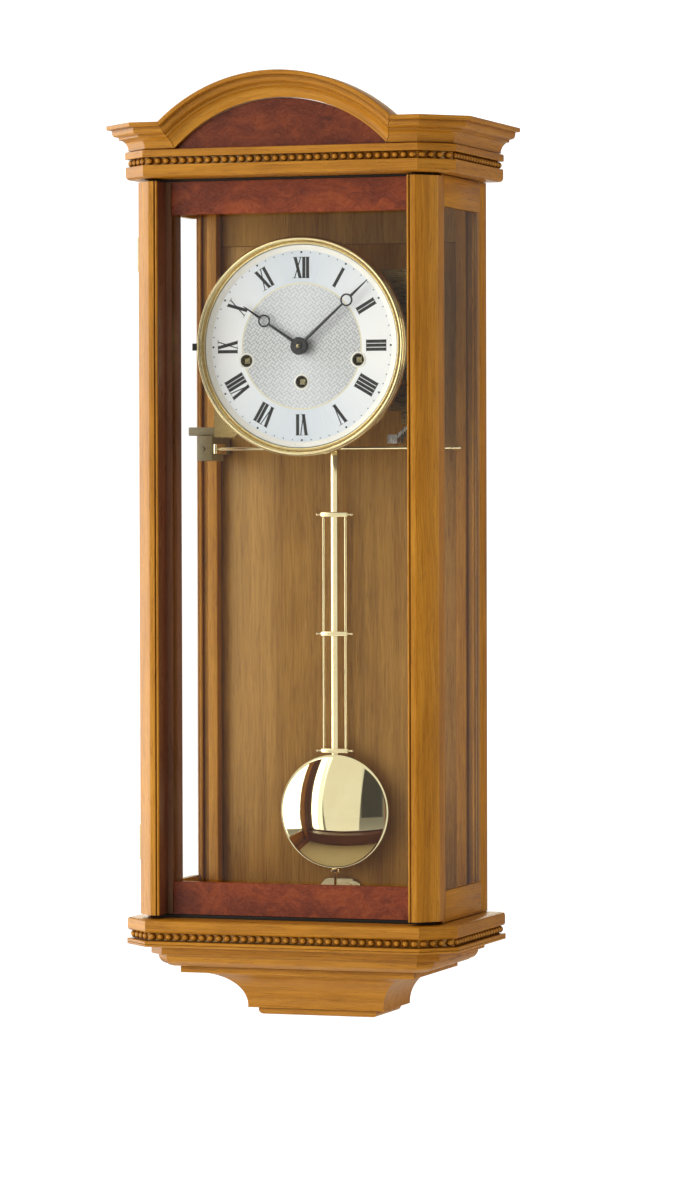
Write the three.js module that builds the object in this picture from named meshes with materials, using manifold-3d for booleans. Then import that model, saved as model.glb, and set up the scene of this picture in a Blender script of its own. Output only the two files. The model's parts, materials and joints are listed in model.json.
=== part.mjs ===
// Pendulum wall clock in a canted wooden case, millimetres, +Z up.
// The front of the clock faces -Y, the wall is the plane Y = 0 and X = 0 is the middle of the clock.
// The origin is the point on the wall plane where the clock hangs on its hanger plate.
import * as THREE from 'three';
import { mergeVertices } from 'three/addons/utils/BufferGeometryUtils.js';
import Module from 'manifold-3d';

const wasm = await Module();
wasm.setup();

// ---------------------------------------------------------------- driving dimensions
const GAP = 0.3; // clearance between pieces that touch
const APEX_Z = 90; // top of the arch above the hanging point
const CROWN_TOP_Z = 56.6; // flat top of the cornice beside the arch
const CORNICE_H = 17.7; // height of the cornice moulding
const BOARD_H = 20; // height of the crown board
const DOOR_H = 511.9; // door height
const DOOR_GAP_TOP = 2; // gap between the crown board and the door
const DOOR_GAP_BOTTOM = 2.6; // gap between the door and the base board

const PLAN_W = 119.3; // half width of the crown and base boards
const PLAN_D = 131.2; // depth of the crown and base boards
const PLAN_CANT = 19.8; // leg of their 45 degree cut corners
const CASE_W = 108.5; // half width of the case
const BACK_T = 14; // thickness of the back frame
const BACK_INNER = 90; // half width of the opening in the back frame
const POST_IN = 98.2; // inner face of the front posts
const POST_OUT = 109; // outer face of the front posts
const POST_FRONT = -107; // front face of the front posts
const POST_BACK = -99.5; // back face of the front posts
const RAIL_H = 21.8; // height of the side rails

const DOOR_W = 110; // half width of the door
const DOOR_FRONT = -129.8; // front face of the door stiles
const DOOR_BACK = POST_FRONT - GAP; // back face of the door stiles
const DOOR_LIP = 97; // half width of the lip that reaches into the case
const DOOR_LIP_Y = -94; // back face of that lip
const STILE_IN = 91.2; // inner face of the front part of the stiles
const SIGHT_W = 87; // half width of the opening between the stiles
const DOOR_RAIL_H = 24.2; // height of the door rails
const DOOR_RAIL_Y = -113; // front face of the door rails

const DIAL_Z = -98.1; // height of the dial centre
const DIAL_Y = -86.4; // front face of the dial
const DIAL_R = 75.5; // radius of the dial plate
const DIAL_T = 1.2; // thickness of the dial plate
const BEZEL_R = 77; // outer radius of the bezel
const BEZEL_IN = 71.1; // sight radius of the bezel
const WIND = [[-40.8, -9.8], [0, -24.9], [41.8, -9.8]]; // winding holes from the dial centre

const BEZEL_BACK = -83.4; // rear edge of the bezel's side wall

const PLATE_W = 66; // half width of the movement's back plate
const PLATE_TOP = -43.5; // its top edge
const PLATE_BOTTOM = -143; // its bottom edge
const FRONT_PLATE_Y = -79; // front face of the front plate
const BACK_PLATE_Y = -43; // front face of the back plate
const PLATE_T = 2; // thickness of the movement plates

const SWING_Z = DIAL_Z + 30; // height of the pendulum's suspension point
const ROD_Y = -16.5; // middle of the pendulum rod
const BOB_Z = -427.8; // height of the bob's centre
const BOB_R = 40.4; // radius of the bob
const ROD_TIP_Z = -480.5; // lower end of the threaded rod
const CROSSBARS = [-216, -301, -384.6]; // heights of the pendulum's crossbars

const CHIME_Z = -169; // height of the chime rods
const CHIME_ROD_R = 1.2;
const HAMMER_X = 68; // hammer arbor
const HAMMER_Z = CHIME_Z + 22;
const CHIME_YS = [-23, -29.5, -36]; // the chime rods, from back to front

// heights that follow from the ones above
const CORNICE_Z = CROWN_TOP_Z - CORNICE_H;
const CROWN_Z = CORNICE_Z - GAP - BOARD_H;
const DOOR_TOP = CROWN_Z - DOOR_GAP_TOP;
const DOOR_BOTTOM = DOOR_TOP - DOOR_H;
const BASE_Z = DOOR_BOTTOM - DOOR_GAP_BOTTOM;
const BASE_H = 19.2; // height of the base board
const CASE_TOP = CROWN_Z - GAP;
const CASE_BOTTOM = BASE_Z + GAP;
const HINGE_X = -112.3; // door hinge axis
const HINGE_Y = -107.2;
const HINGE_ZS = [DOOR_TOP - 50, DOOR_BOTTOM + 50];

// ---------------------------------------------------------------- materials
function finish(color, roughness, metalness) {
  return new THREE.MeshStandardMaterial({ color, roughness, metalness });
}
const CHERRY = finish(0xa8702c, 0.45, 0);
const BURL = finish(0x6e3420, 0.35, 0);
const PANEL = finish(0x7a5638, 0.6, 0);
const BRASS = finish(0xd8bd72, 0.22, 1);
const STEEL = finish(0x8d8d8a, 0.4, 1);
const BRONZE = finish(0x6b5a34, 0.6, 0.6);
const SILVER = finish(0xdadcde, 0.35, 0.6);
const BLACK = finish(0x141414, 0.4, 0.2);
const GLASS = new THREE.MeshStandardMaterial({
  color: 0xf4f8f8,
  roughness: 0.05,
  metalness: 0,
  transparent: true,
  opacity: 0.2,
});

const clock = new THREE.Group();

// turns every triangle over where a closed geometry encloses a negative volume
function outward(geometry) {
  const { position } = geometry.attributes;
  const { index } = geometry;
  const corner = (k) => new THREE.Vector3().fromBufferAttribute(position, index.getX(k));
  let volume = 0;
  for (let k = 0; k < index.count; k += 3) {
    volume += corner(k).dot(corner(k + 1).cross(corner(k + 2)));
  }
  for (let k = 0; volume < 0 && k < index.count; k += 3) {
    const second = index.getX(k + 1);
    index.setX(k + 1, index.getX(k + 2));
    index.setX(k + 2, second);
  }
  return geometry;
}

function add(name, geometry, material) {
  const mesh = new THREE.Mesh(geometry.index ? outward(geometry) : geometry, material);
  mesh.name = name;
  clock.add(mesh);
  return mesh;
}

// ---------------------------------------------------------------- shape helpers
// box between two x, y and z values
function box(x0, x1, y0, y1, z0, z1) {
  const geometry = new THREE.BoxGeometry(Math.abs(x1 - x0), Math.abs(y1 - y0), Math.abs(z1 - z0));
  return geometry.translate((x0 + x1) / 2, (y0 + y1) / 2, (z0 + z1) / 2);
}

function outline(points, holes = []) {
  const shape = new THREE.Shape(points.map(([x, y]) => new THREE.Vector2(x, y)));
  for (const [x, y, r] of holes) {
    const hole = new THREE.Path();
    hole.absarc(x, y, r, 0, Math.PI * 2, true);
    shape.holes.push(hole);
  }
  return shape;
}

// plan outline (x, y) raised from z0 to z1
function plate(points, z0, z1) {
  const options = { depth: z1 - z0, bevelEnabled: false };
  return new THREE.ExtrudeGeometry(outline(points), options).translate(0, 0, z0);
}

// front outline (x, z) given a thickness between y0 and y1, y0 being the front
function panel(points, y0, y1, holes = [], curveSegments = 12) {
  const options = { depth: y1 - y0, bevelEnabled: false, curveSegments };
  const geometry = new THREE.ExtrudeGeometry(outline(points, holes), options);
  return geometry.rotateX(Math.PI / 2).translate(0, y1, 0);
}

function rectangle(x0, x1, z0, z1) {
  return [[x0, z0], [x1, z0], [x1, z1], [x0, z1]];
}

function circle(cx, cz, r, count) {
  const points = [];
  for (let i = 0; i < count; i += 1) {
    const turn = (i / count) * Math.PI * 2;
    points.push([cx + r * Math.cos(turn), cz + r * Math.sin(turn)]);
  }
  return points;
}

// cylinder along Y
function rodY(x, z, r, y0, y1, sides = 16) {
  const geometry = new THREE.CylinderGeometry(r, r, y1 - y0, sides);
  return geometry.translate(x, (y0 + y1) / 2, z);
}

// cylinder along Z
function rodZ(x, y, r, z0, z1, sides = 16) {
  const geometry = new THREE.CylinderGeometry(r, r, z1 - z0, sides).rotateX(Math.PI / 2);
  return geometry.translate(x, y, (z0 + z1) / 2);
}

// cylinder along X
function rodX(y, z, r, x0, x1, sides = 8) {
  const geometry = new THREE.CylinderGeometry(r, r, x1 - x0, sides).rotateZ(Math.PI / 2);
  return geometry.translate((x0 + x1) / 2, y, z);
}

// ring or disc turned about a line along Y through (x, z); profile points are [radius, y]
function turned(x, z, profile, sides = 32) {
  const points = profile.map(([r, y]) => new THREE.Vector2(r, y));
  return new THREE.LatheGeometry(points, sides).translate(x, 0, z);
}

// solid with flat faces between rings of corner points, closed by a cap at each end
function loft(rings, caps) {
  const count = rings[0].length;
  const last = (rings.length - 1) * count;
  const index = [];
  for (let k = 0; k + 1 < rings.length; k += 1) {
    for (let i = 0; i < count; i += 1) {
      const j = (i + 1) % count;
      const a = k * count + i;
      const b = k * count + j;
      index.push(a, b, b + count, a, b + count, a + count);
    }
  }
  for (const [a, b, c] of caps) {
    index.push(a, c, b);
    index.push(last + a, last + b, last + c);
  }
  const geometry = new THREE.BufferGeometry();
  geometry.setAttribute('position', new THREE.Float32BufferAttribute(rings.flat(2), 3));
  geometry.setIndex(index);
  return geometry;
}

function capFaces(points) {
  return THREE.ShapeUtils.triangulateShape(points.map(([x, y]) => new THREE.Vector2(x, y)), []);
}

// ---------------------------------------------------------------- booleans
function toManifold(geometry) {
  const bare = geometry.clone();
  bare.deleteAttribute('normal');
  bare.deleteAttribute('uv');
  const merged = mergeVertices(bare, 1e-3);
  const vertProperties = new Float32Array(merged.attributes.position.array);
  const triVerts = new Uint32Array(merged.index.array);
  return new wasm.Manifold(new wasm.Mesh({ numProp: 3, vertProperties, triVerts }));
}

function fromManifold(solid) {
  const { vertProperties, triVerts } = solid.getMesh();
  const geometry = new THREE.BufferGeometry();
  geometry.setAttribute('position', new THREE.BufferAttribute(new Float32Array(vertProperties), 3));
  geometry.setIndex(new THREE.BufferAttribute(new Uint32Array(triVerts), 1));
  return geometry;
}

function join(...geometries) {
  return fromManifold(geometries.map(toManifold).reduce((sum, part) => sum.add(part)));
}

function cut(geometry, ...tools) {
  const rest = tools.map(toManifold).reduce((left, tool) => left.subtract(tool), toManifold(geometry));
  return fromManifold(rest);
}

// ---------------------------------------------------------------- canted boards
const MITRE = Math.tan(Math.PI / 8);

// corners of the canted plan, moved outwards by `out`, in order from the back left to the back right
function cantedPath(out) {
  const side = PLAN_W + out;
  const front = -(PLAN_D + out);
  const cantY = -(PLAN_D - PLAN_CANT) - out * MITRE;
  const cantX = PLAN_W - PLAN_CANT + out * MITRE;
  return [[-side, 0], [-side, cantY], [-cantX, front], [cantX, front], [side, cantY], [side, 0]];
}

// board with the canted plan whose edge follows a profile of [out, z] points from bottom to top
function cantedBoard(profile) {
  const rings = profile.map(([out, z]) => cantedPath(out).map(([x, y]) => [x, y, z]));
  return loft(rings, capFaces(cantedPath(0)));
}

// moulding of a closed [out, z] profile along the two sides and the front of the canted plan
function cantedStrip(profile) {
  const rings = [];
  for (let k = 0; k < 6; k += 1) {
    rings.push(profile.map(([out, z]) => [...cantedPath(out)[k], z]));
  }
  return loft(rings, capFaces(profile));
}

function arc(cx, cy, r, from, to, steps) {
  const points = [];
  for (let i = 0; i <= steps; i += 1) {
    const turn = THREE.MathUtils.degToRad(from + ((to - from) * i) / steps);
    points.push([cx + r * Math.cos(turn), cy + r * Math.sin(turn)]);
  }
  return points;
}

// ---------------------------------------------------------------- crown
const BEAD_H = 5.4; // height of the bead channel
const BEAD_DEEP = -2; // bottom of the bead channel
const CROWN_BEAD_Z = CROWN_Z + 9.1;
const BASE_BEAD_Z = BASE_Z - 14.8;
const ARCH_RISE = APEX_Z - CROWN_TOP_Z;
const FOOT_X = 77.5; // half width of the arch at its inner edge
const ARCH_R = (FOOT_X ** 2 + ARCH_RISE ** 2) / (2 * ARCH_RISE);
const ARCH_CZ = APEX_Z - CORNICE_H - ARCH_R;

function crownBoard() {
  const z = CROWN_Z;
  const profile = [
    [-1.9, z],
    [0.9, z + 1.2],
    [1.9, z + 4],
    [1.9, z + 7.8],
    [1.2, CROWN_BEAD_Z],
    [BEAD_DEEP, CROWN_BEAD_Z],
    [BEAD_DEEP, CROWN_BEAD_Z + BEAD_H],
    [2.3, CROWN_BEAD_Z + BEAD_H],
    [2.3, z + 19],
    [0, z + BOARD_H],
  ];
  return cantedBoard(profile);
}

// bead strip lying in the channel that starts at height z
function beadStrip(z) {
  const low = z + GAP;
  const high = z + BEAD_H - GAP;
  const mid = (low + high) / 2;
  const back = BEAD_DEEP + GAP;
  const front = [[0.2, low], [1.4, mid - 1], [1.4, mid + 1], [0.2, high]];
  return cantedStrip([[back, low], ...front, [back, high]]);
}

// cornice section as [out, height above its lower edge], closed
const CORNICE_BACK = -8;
const CORNICE = [
  [CORNICE_BACK, 0],
  [0, 0],
  ...arc(8.2, 0.4, 8, 180, 118, 4),
  [6.4, 8],
  [6.4, 9.2],
  ...arc(6.9, 13.2, 4, -50, 0, 3),
  [10.9, 14.4],
  [14.4, 14.7],
  [14.4, CORNICE_H],
  [CORNICE_BACK, CORNICE_H],
];

// half width of the arch's foot for a line of the section at height h
function footX(h) {
  return Math.sqrt((ARCH_R + h) ** 2 - (CORNICE_Z + h - ARCH_CZ) ** 2);
}

// side and front run of the cornice up to the foot of the arch; sign is -1 on the left
function corniceRun(sign) {
  const corner = sign < 0 ? [0, 1, 2] : [3, 4, 5];
  const rings = corner.map((k) => CORNICE.map(([out, h]) => [...cantedPath(out)[k], CORNICE_Z + h]));
  const foot = CORNICE.map(([out, h]) => {
    return [sign * (footX(h) + GAP / 2), -(PLAN_D + out), CORNICE_Z + h];
  });
  const ordered = sign < 0 ? [...rings, foot] : [foot, ...rings];
  return loft(ordered, capFaces(CORNICE));
}

// arched run of the cornice between its two feet
function corniceArch() {
  const steps = 22;
  const rings = [];
  for (let i = 0; i <= steps; i += 1) {
    const along = (2 * i) / steps - 1;
    rings.push(CORNICE.map(([out, h]) => {
      const r = ARCH_R + h;
      const reach = Math.asin((footX(h) - GAP / 2) / r);
      const turn = along * reach;
      return [r * Math.sin(turn), -(PLAN_D + out), ARCH_CZ + r * Math.cos(turn)];
    }));
  }
  return loft(rings, capFaces(CORNICE));
}

// thin burl board that fills the arch
function tympanum() {
  const r = ARCH_R - GAP;
  const sill = CORNICE_Z;
  const reach = THREE.MathUtils.radToDeg(Math.acos((sill - ARCH_CZ) / r));
  return panel(arc(0, ARCH_CZ, r, 90 - reach, 90 + reach, 28), -(PLAN_D - 4), -(PLAN_D - 12));
}

function crown() {
  add('crown_board', crownBoard(), CHERRY);
  add('crown_bead_strip', beadStrip(CROWN_BEAD_Z), CHERRY);
  add('cornice_left', corniceRun(-1), CHERRY);
  add('cornice_right', corniceRun(1), CHERRY);
  add('cornice_arch', corniceArch(), CHERRY);
  add('tympanum', tympanum(), BURL);
}

// ---------------------------------------------------------------- base and bracket
const BASE_LOW = BASE_Z - BASE_H;
const MOULD_H = 15; // height of the stepped moulding under the base board
const MOULD_Z = BASE_LOW - GAP - MOULD_H;
const SHELF_W = 86.2; // half width of the bracket plate
const SHELF_D = 101;
const SHELF_H = 4.8;
const SHELF_Z = MOULD_Z - GAP - SHELF_H;
const PENDANT_W = 50.5; // half width of the pendant's lower end
const PENDANT_D = 60.5;
const PENDANT_H = 27.2;
const PENDANT_Z = SHELF_Z - GAP - PENDANT_H;
const COVE_W = 31; // how far the pendant's cove spreads to each side
const COVE_D = 36.5; // how far it spreads to the front
const CAP_W = 43.8;
const CAP_D = 57;
const CAP_H = 4.8;
const CAP_Z = PENDANT_Z - GAP - CAP_H;

function baseBoard() {
  const z = BASE_LOW;
  const profile = [
    [2.7, z],
    [2.7, z + 3.9],
    [BEAD_DEEP, z + 4.2],
    [BEAD_DEEP, BASE_BEAD_Z + BEAD_H],
    [1.2, BASE_BEAD_Z + BEAD_H],
    [2.3, z + 11],
    [2.3, z + 17.4],
    [0.6, z + 18.6],
    [-1.9, BASE_Z],
  ];
  return cantedBoard(profile);
}

function baseMoulding() {
  const z = MOULD_Z;
  const curve = arc(-24.6, z + 8, 7, -80, 0, 4);
  const profile = [[-25, z], ...curve, [-17.6, z + 8.6], [-13, z + 8.6], [-13, z + MOULD_H]];
  return cantedBoard(profile);
}

// rectangular solid open to the wall whose half width and depth change with height
function bracketSolid(levels) {
  const ring = ([w, d, z]) => [[-w, 0, z], [-w, -d, z], [w, -d, z], [w, 0, z]];
  return loft(levels.map(ring), [[0, 1, 2], [0, 2, 3]]);
}

function pendant() {
  const levels = [];
  const steps = 8;
  for (let i = 0; i <= steps; i += 1) {
    const turn = (i / steps) * (Math.PI / 2);
    const spread = 1 - Math.cos(turn);
    const z = PENDANT_Z + 1.2 + (PENDANT_H - 1.2) * Math.sin(turn);
    levels.push([PENDANT_W + COVE_W * spread, PENDANT_D + COVE_D * spread, z]);
  }
  return bracketSolid([[PENDANT_W, PENDANT_D, PENDANT_Z], ...levels]);
}

function cap() {
  const round = 3.4;
  const levels = arc(0, 0, round, -90, 0, 4).map(([x, z]) => {
    return [CAP_W - round + x, CAP_D - round + x, CAP_Z + round + z];
  });
  return bracketSolid([...levels, [CAP_W, CAP_D, CAP_Z + CAP_H]]);
}

function base() {
  add('base_board', baseBoard(), CHERRY);
  add('base_bead_strip', beadStrip(BASE_BEAD_Z), CHERRY);
  add('base_moulding', baseMoulding(), CHERRY);
  add('bracket_plate', box(-SHELF_W, SHELF_W, -SHELF_D, 0, SHELF_Z, SHELF_Z + SHELF_H), CHERRY);
  add('bracket_pendant', pendant(), CHERRY);
  add('bracket_cap', cap(), CHERRY);
}

// ---------------------------------------------------------------- carcass
const BACK_RAIL_H = 41.8;
const HANGER_W = 22;
const PANEL_FRONT = -5; // front face of the back panel and of the rail above it

// one back stile with its stepped front and chamfered outer corner; sign is -1 on the left
function backStile(sign) {
  const points = [
    [BACK_INNER, 0],
    [CASE_W, 0],
    [CASE_W, -6],
    [104.5, -BACK_T],
    [101.5, -BACK_T],
    [101.5, -11],
    [97.5, -11],
    [97.5, -BACK_T],
    [BACK_INNER, -BACK_T],
  ];
  return plate(points.map(([x, y]) => [sign * x, y]), CASE_BOTTOM, CASE_TOP);
}

// rail across the top of the back, notched at the rear for the hanger plate
function backRail() {
  const w = BACK_INNER - GAP;
  const notch = HANGER_W + GAP;
  const points = [
    [-w, 0],
    [-w, PANEL_FRONT],
    [w, PANEL_FRONT],
    [w, 0],
    [notch, 0],
    [notch, -2.3],
    [-notch, -2.3],
    [-notch, 0],
  ];
  return plate(points, CASE_TOP - BACK_RAIL_H, CASE_TOP);
}

function carcass() {
  const w = BACK_INNER - GAP;
  const panelTop = CASE_TOP - BACK_RAIL_H - GAP;
  add('back_panel', box(-w, w, PANEL_FRONT, -1.5, CASE_BOTTOM, panelTop), PANEL);
  add('back_rail', backRail(), PANEL);
  const keyhole = [[0, -4, 5], [0, 5, 3]];
  const hanger = panel(rectangle(-HANGER_W, HANGER_W, -14, 14), -2, 0, keyhole, 8);
  add('hanger_plate', hanger, STEEL);
  for (const [side, sign] of [['left', -1], ['right', 1]]) {
    add(`back_stile_${side}`, backStile(sign), CHERRY);
    const post = box(sign * POST_IN, sign * POST_OUT, POST_FRONT, POST_BACK, CASE_BOTTOM, CASE_TOP);
    add(`front_post_${side}`, post, CHERRY);
    const y0 = POST_BACK + GAP;
    const y1 = -BACK_T - GAP;
    const x0 = sign * 104;
    const x1 = sign * CASE_W;
    add(`side_rail_top_${side}`, box(x0, x1, y0, y1, CASE_TOP - RAIL_H, CASE_TOP), CHERRY);
    add(`side_rail_bottom_${side}`, box(x0, x1, y0, y1, CASE_BOTTOM, CASE_BOTTOM + RAIL_H), CHERRY);
    const low = CASE_BOTTOM + RAIL_H + GAP;
    const high = CASE_TOP - RAIL_H - GAP;
    add(`side_glass_${side}`, box(sign * 105.3, sign * 107.3, y0, -12.7, low, high), GLASS);
  }
}

// ---------------------------------------------------------------- door
function doorStile(sign) {
  const points = [
    [SIGHT_W, DOOR_LIP_Y],
    [DOOR_LIP, DOOR_LIP_Y],
    [DOOR_LIP, DOOR_BACK],
    [DOOR_W, DOOR_BACK],
    [DOOR_W, -116.8],
    [97.7, DOOR_FRONT],
    [92, DOOR_FRONT],
    [STILE_IN, DOOR_FRONT + 0.8],
    [STILE_IN, DOOR_RAIL_Y],
    [SIGHT_W, DOOR_RAIL_Y + 1],
  ];
  return plate(points.map(([x, y]) => [sign * x, y]), DOOR_BOTTOM, DOOR_TOP);
}

// butt hinge about the vertical axis of the door, at height z
const LEAF_T = 1; // thickness of a hinge leaf
const LEAF_H = 12; // half height of a leaf
const KNUCKLE_H = 4; // half height of the case leaf's knuckle
const KNUCKLE_R = 2;
const PIN_R = 0.8;
const LEAF_SPLIT = -107.2; // the two leaves part here when the door is shut

function hinge(place, z) {
  const postFace = -POST_OUT - GAP;
  const doorFace = -DOOR_W - GAP;
  const caseFront = LEAF_SPLIT + GAP;
  const doorBack = LEAF_SPLIT - GAP - 0.1;
  const caseLeaf = join(
    box(postFace - LEAF_T, postFace, caseFront, POST_BACK, z - LEAF_H, z + LEAF_H),
    box(HINGE_X, postFace, caseFront, caseFront + 1.3, z - KNUCKLE_H, z + KNUCKLE_H),
    rodZ(HINGE_X, HINGE_Y, KNUCKLE_R, z - KNUCKLE_H, z + KNUCKLE_H),
    rodZ(HINGE_X, HINGE_Y, PIN_R, z - LEAF_H - 1, z + LEAF_H + 1),
  );
  add(`hinge_case_leaf_${place}`, caseLeaf, BRASS);
  const inner = KNUCKLE_H + GAP;
  const room = KNUCKLE_R + 1;
  const doorLeaf = cut(
    join(
      box(doorFace - LEAF_T, doorFace, -115.5, doorBack, z - LEAF_H, z + LEAF_H),
      box(HINGE_X, doorFace, doorBack - 1.4, doorBack, z + inner, z + LEAF_H),
      box(HINGE_X, doorFace, doorBack - 1.4, doorBack, z - LEAF_H, z - inner),
      rodZ(HINGE_X, HINGE_Y, KNUCKLE_R, z + inner, z + LEAF_H),
      rodZ(HINGE_X, HINGE_Y, KNUCKLE_R, z - LEAF_H, z - inner),
    ),
    rodZ(HINGE_X, HINGE_Y, PIN_R + GAP, z - LEAF_H - 1, z + LEAF_H + 1),
    box(HINGE_X - room, HINGE_X + room, HINGE_Y - 4, HINGE_Y + 4, z - inner, z + inner),
  );
  add(`hinge_door_leaf_${place}`, doorLeaf, BRASS);
}

function door() {
  add('door_stile_left', doorStile(-1), CHERRY);
  add('door_stile_right', doorStile(1), CHERRY);
  const w = SIGHT_W - GAP;
  const topLow = DOOR_TOP - DOOR_RAIL_H;
  const bottomHigh = DOOR_BOTTOM + DOOR_RAIL_H;
  add('door_rail_top', box(-w, w, DOOR_RAIL_Y, DOOR_LIP_Y, topLow, DOOR_TOP), BURL);
  add('door_rail_bottom', box(-w, w, DOOR_RAIL_Y, DOOR_LIP_Y, DOOR_BOTTOM, bottomHigh), BURL);
  add('door_glass', box(-w, w, -110.6, -108.6, bottomHigh + GAP, topLow - GAP), GLASS);
  hinge('top', HINGE_ZS[0]);
  hinge('bottom', HINGE_ZS[1]);
  const z = (DOOR_TOP + DOOR_BOTTOM) / 2;
  add('door_catch', box(89, POST_IN - GAP, DOOR_LIP_Y + GAP, -86, z - 10, z + 10), STEEL);
}

// ---------------------------------------------------------------- movement
const PILLARS = [[-45, -56], [45, -56], [-58, -154], [48, -138]];
const PILLAR_R = 3.5;

// The front plate's corners lie behind the dial, apart from the foot at its lower left.
const FRONT_OUTLINE = [
  [-68, -161.3],
  [-52.6, -161.3],
  [-50, -158],
  [35, -158],
  [60, -138],
  [60, -62],
  [45, -47],
  [-45, -47],
  [-64, -70],
  [-68, -85],
];

function backOutline() {
  const r = 8;
  const right = [
    ...arc(PLATE_W - r, PLATE_BOTTOM + r, r, -90, 0, 4),
    ...arc(PLATE_W - 2, PLATE_TOP - 2, 2, 0, 90, 2),
  ];
  return [...right, ...right.map(([x, z]) => [-x, z]).reverse()];
}

function movementPlates() {
  const arbors = WIND.map(([x, z]) => [x, DIAL_Z + z, 3.6]);
  const holes = [...arbors, [0, DIAL_Z, 5]];
  add('front_plate', panel(FRONT_OUTLINE, FRONT_PLATE_Y, FRONT_PLATE_Y + PLATE_T, holes), BRASS);
  const back = panel(backOutline(), BACK_PLATE_Y, BACK_PLATE_Y + PLATE_T, [[0, SWING_Z, 3]]);
  const from = FRONT_PLATE_Y + PLATE_T + GAP;
  const rear = BACK_PLATE_Y + PLATE_T;
  const pillars = PILLARS.map(([x, z]) => rodY(x, z, PILLAR_R, from, BACK_PLATE_Y + 0.5, 12));
  const foot = box(-62, -54, BACK_PLATE_Y, rear, -158, PLATE_BOTTOM + 4);
  const cock = [
    box(-7, 7, rear - 0.5, rear + 2, SWING_Z + 4, SWING_Z + 16),
    box(-4, 4, rear - 0.5, ROD_Y + 4, SWING_Z + 4, SWING_Z + 7),
  ];
  const hammerArbor = [
    box(PLATE_W - 7, HAMMER_X + 3, BACK_PLATE_Y, rear, HAMMER_Z - 5, HAMMER_Z + 10),
    rodY(HAMMER_X, HAMMER_Z, 1, rear - 0.5, -18, 10),
  ];
  add('back_plate', join(back, foot, ...pillars, ...cock, ...hammerArbor), BRASS);
}

// steel bracket that carries the movement off the back panel
function movementBracket() {
  const front = BACK_PLATE_Y + PLATE_T + GAP;
  const arm = (x) => box(x - 4, x + 4, front, -6, PLATE_TOP - 12, PLATE_TOP - 4);
  add('movement_bracket', join(
    box(-50, 50, -7.5, PANEL_FRONT - GAP, PLATE_TOP - 16, PLATE_TOP),
    arm(-44),
    arm(44),
  ), STEEL);
}

// mainspring barrel with its two rims and the winding arbor that runs through it
function windingTrain(name, x, dz) {
  const z = DIAL_Z + dz;
  const rim = 21;
  const drum = 19.6;
  const profile = [
    [3.5, -74],
    [rim, -74],
    [rim, -71],
    [drum, -71],
    [drum, -53],
    [rim, -53],
    [rim, -50],
    [3.5, -50],
  ];
  add(`${name}_barrel`, turned(x, z, [...profile, profile[0]], 28), BRASS);
  const square = box(-2, 2, -84.5, -74, -2, 2).translate(x, 0, z);
  add(`${name}_arbor`, join(square, rodY(x, z, 3, -76, -44, 16)), STEEL);
}

// escape wheel with pointed teeth on its own short arbor
function escapeWheel() {
  const teeth = 20;
  const tip = 12.5;
  const root = 10;
  const points = [];
  for (let i = 0; i < teeth; i += 1) {
    const turn = (i / teeth) * Math.PI * 2;
    const lean = turn + (0.75 / teeth) * Math.PI * 2;
    points.push([tip * Math.cos(turn), tip * Math.sin(turn)]);
    points.push([root * Math.cos(lean), root * Math.sin(lean)]);
  }
  const z = SWING_Z - 20;
  const wheel = panel(points.map(([x, y]) => [x, y + z]), -60, -58.5);
  add('escape_wheel', join(wheel, rodY(0, z, 1.2, -66, -45, 10)), BRASS);
}

// pallets, their arbor, and the crutch that reaches back to the pendulum rod
function anchor() {
  const z = SWING_Z;
  const half = [[0, z + 1], [5, z - 2], [10, z - 8], [13, z - 9], [9, z + 1], [0, z + 4]];
  const pallet = [...half, ...half.slice(1, -1).map(([x, up]) => [-x, up]).reverse()];
  add('pallet_anchor', join(
    panel(pallet, -61, -57.5),
    rodY(0, z, 1.5, -70, -37, 12),
    box(-1, 1, -39.5, -38, z - 52, z),
    box(-1, 1, -39.5, ROD_Y - 2, z - 52, z - 50),
    box(-5, 5, ROD_Y - 3, ROD_Y - 1.6, z - 52.5, z - 49.5),
    box(-5, -3.6, ROD_Y - 3, ROD_Y + 3, z - 52.5, z - 49.5),
    box(3.6, 5, ROD_Y - 3, ROD_Y + 3, z - 52.5, z - 49.5),
  ), STEEL);
}

function movement() {
  movementPlates();
  movementBracket();
  windingTrain('chime', ...WIND[0]);
  windingTrain('strike', ...WIND[1]);
  windingTrain('time', ...WIND[2]);
  escapeWheel();
  anchor();
  add('silence_lever', box(-83, -56, -82.4, -81.2, DIAL_Z - 2, DIAL_Z + 3), BLACK);
}

// ---------------------------------------------------------------- dial and hands
function dial() {
  const holes = WIND.map(([x, z]) => [x, DIAL_Z + z, 4.5]);
  holes.push([0, DIAL_Z, 4.7]);
  const face = panel(circle(0, DIAL_Z, DIAL_R, 64), DIAL_Y, DIAL_Y + DIAL_T, holes);
  const feet = [45, 135, 225, 315].map((turn) => {
    const [x, z] = arc(0, DIAL_Z, 66, turn, turn, 1)[0];
    return rodY(x, z, 2.5, DIAL_Y + 0.6, FRONT_PLATE_Y - GAP, 10);
  });
  add('dial_plate', join(face, ...feet), SILVER);
  const back = DIAL_Y - GAP;
  const profile = [
    [BEZEL_IN, back],
    [BEZEL_IN, -87.4],
    [72.4, -90.4],
    [74.2, -91.6],
    [76, -90.8],
    [BEZEL_R, -88.4],
    [BEZEL_R, BEZEL_BACK],
    [DIAL_R + GAP, BEZEL_BACK],
    [DIAL_R + GAP, back],
  ];
  add('bezel', turned(0, DIAL_Z, [...profile, profile[0]].reverse(), 64), BRASS);
}

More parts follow.
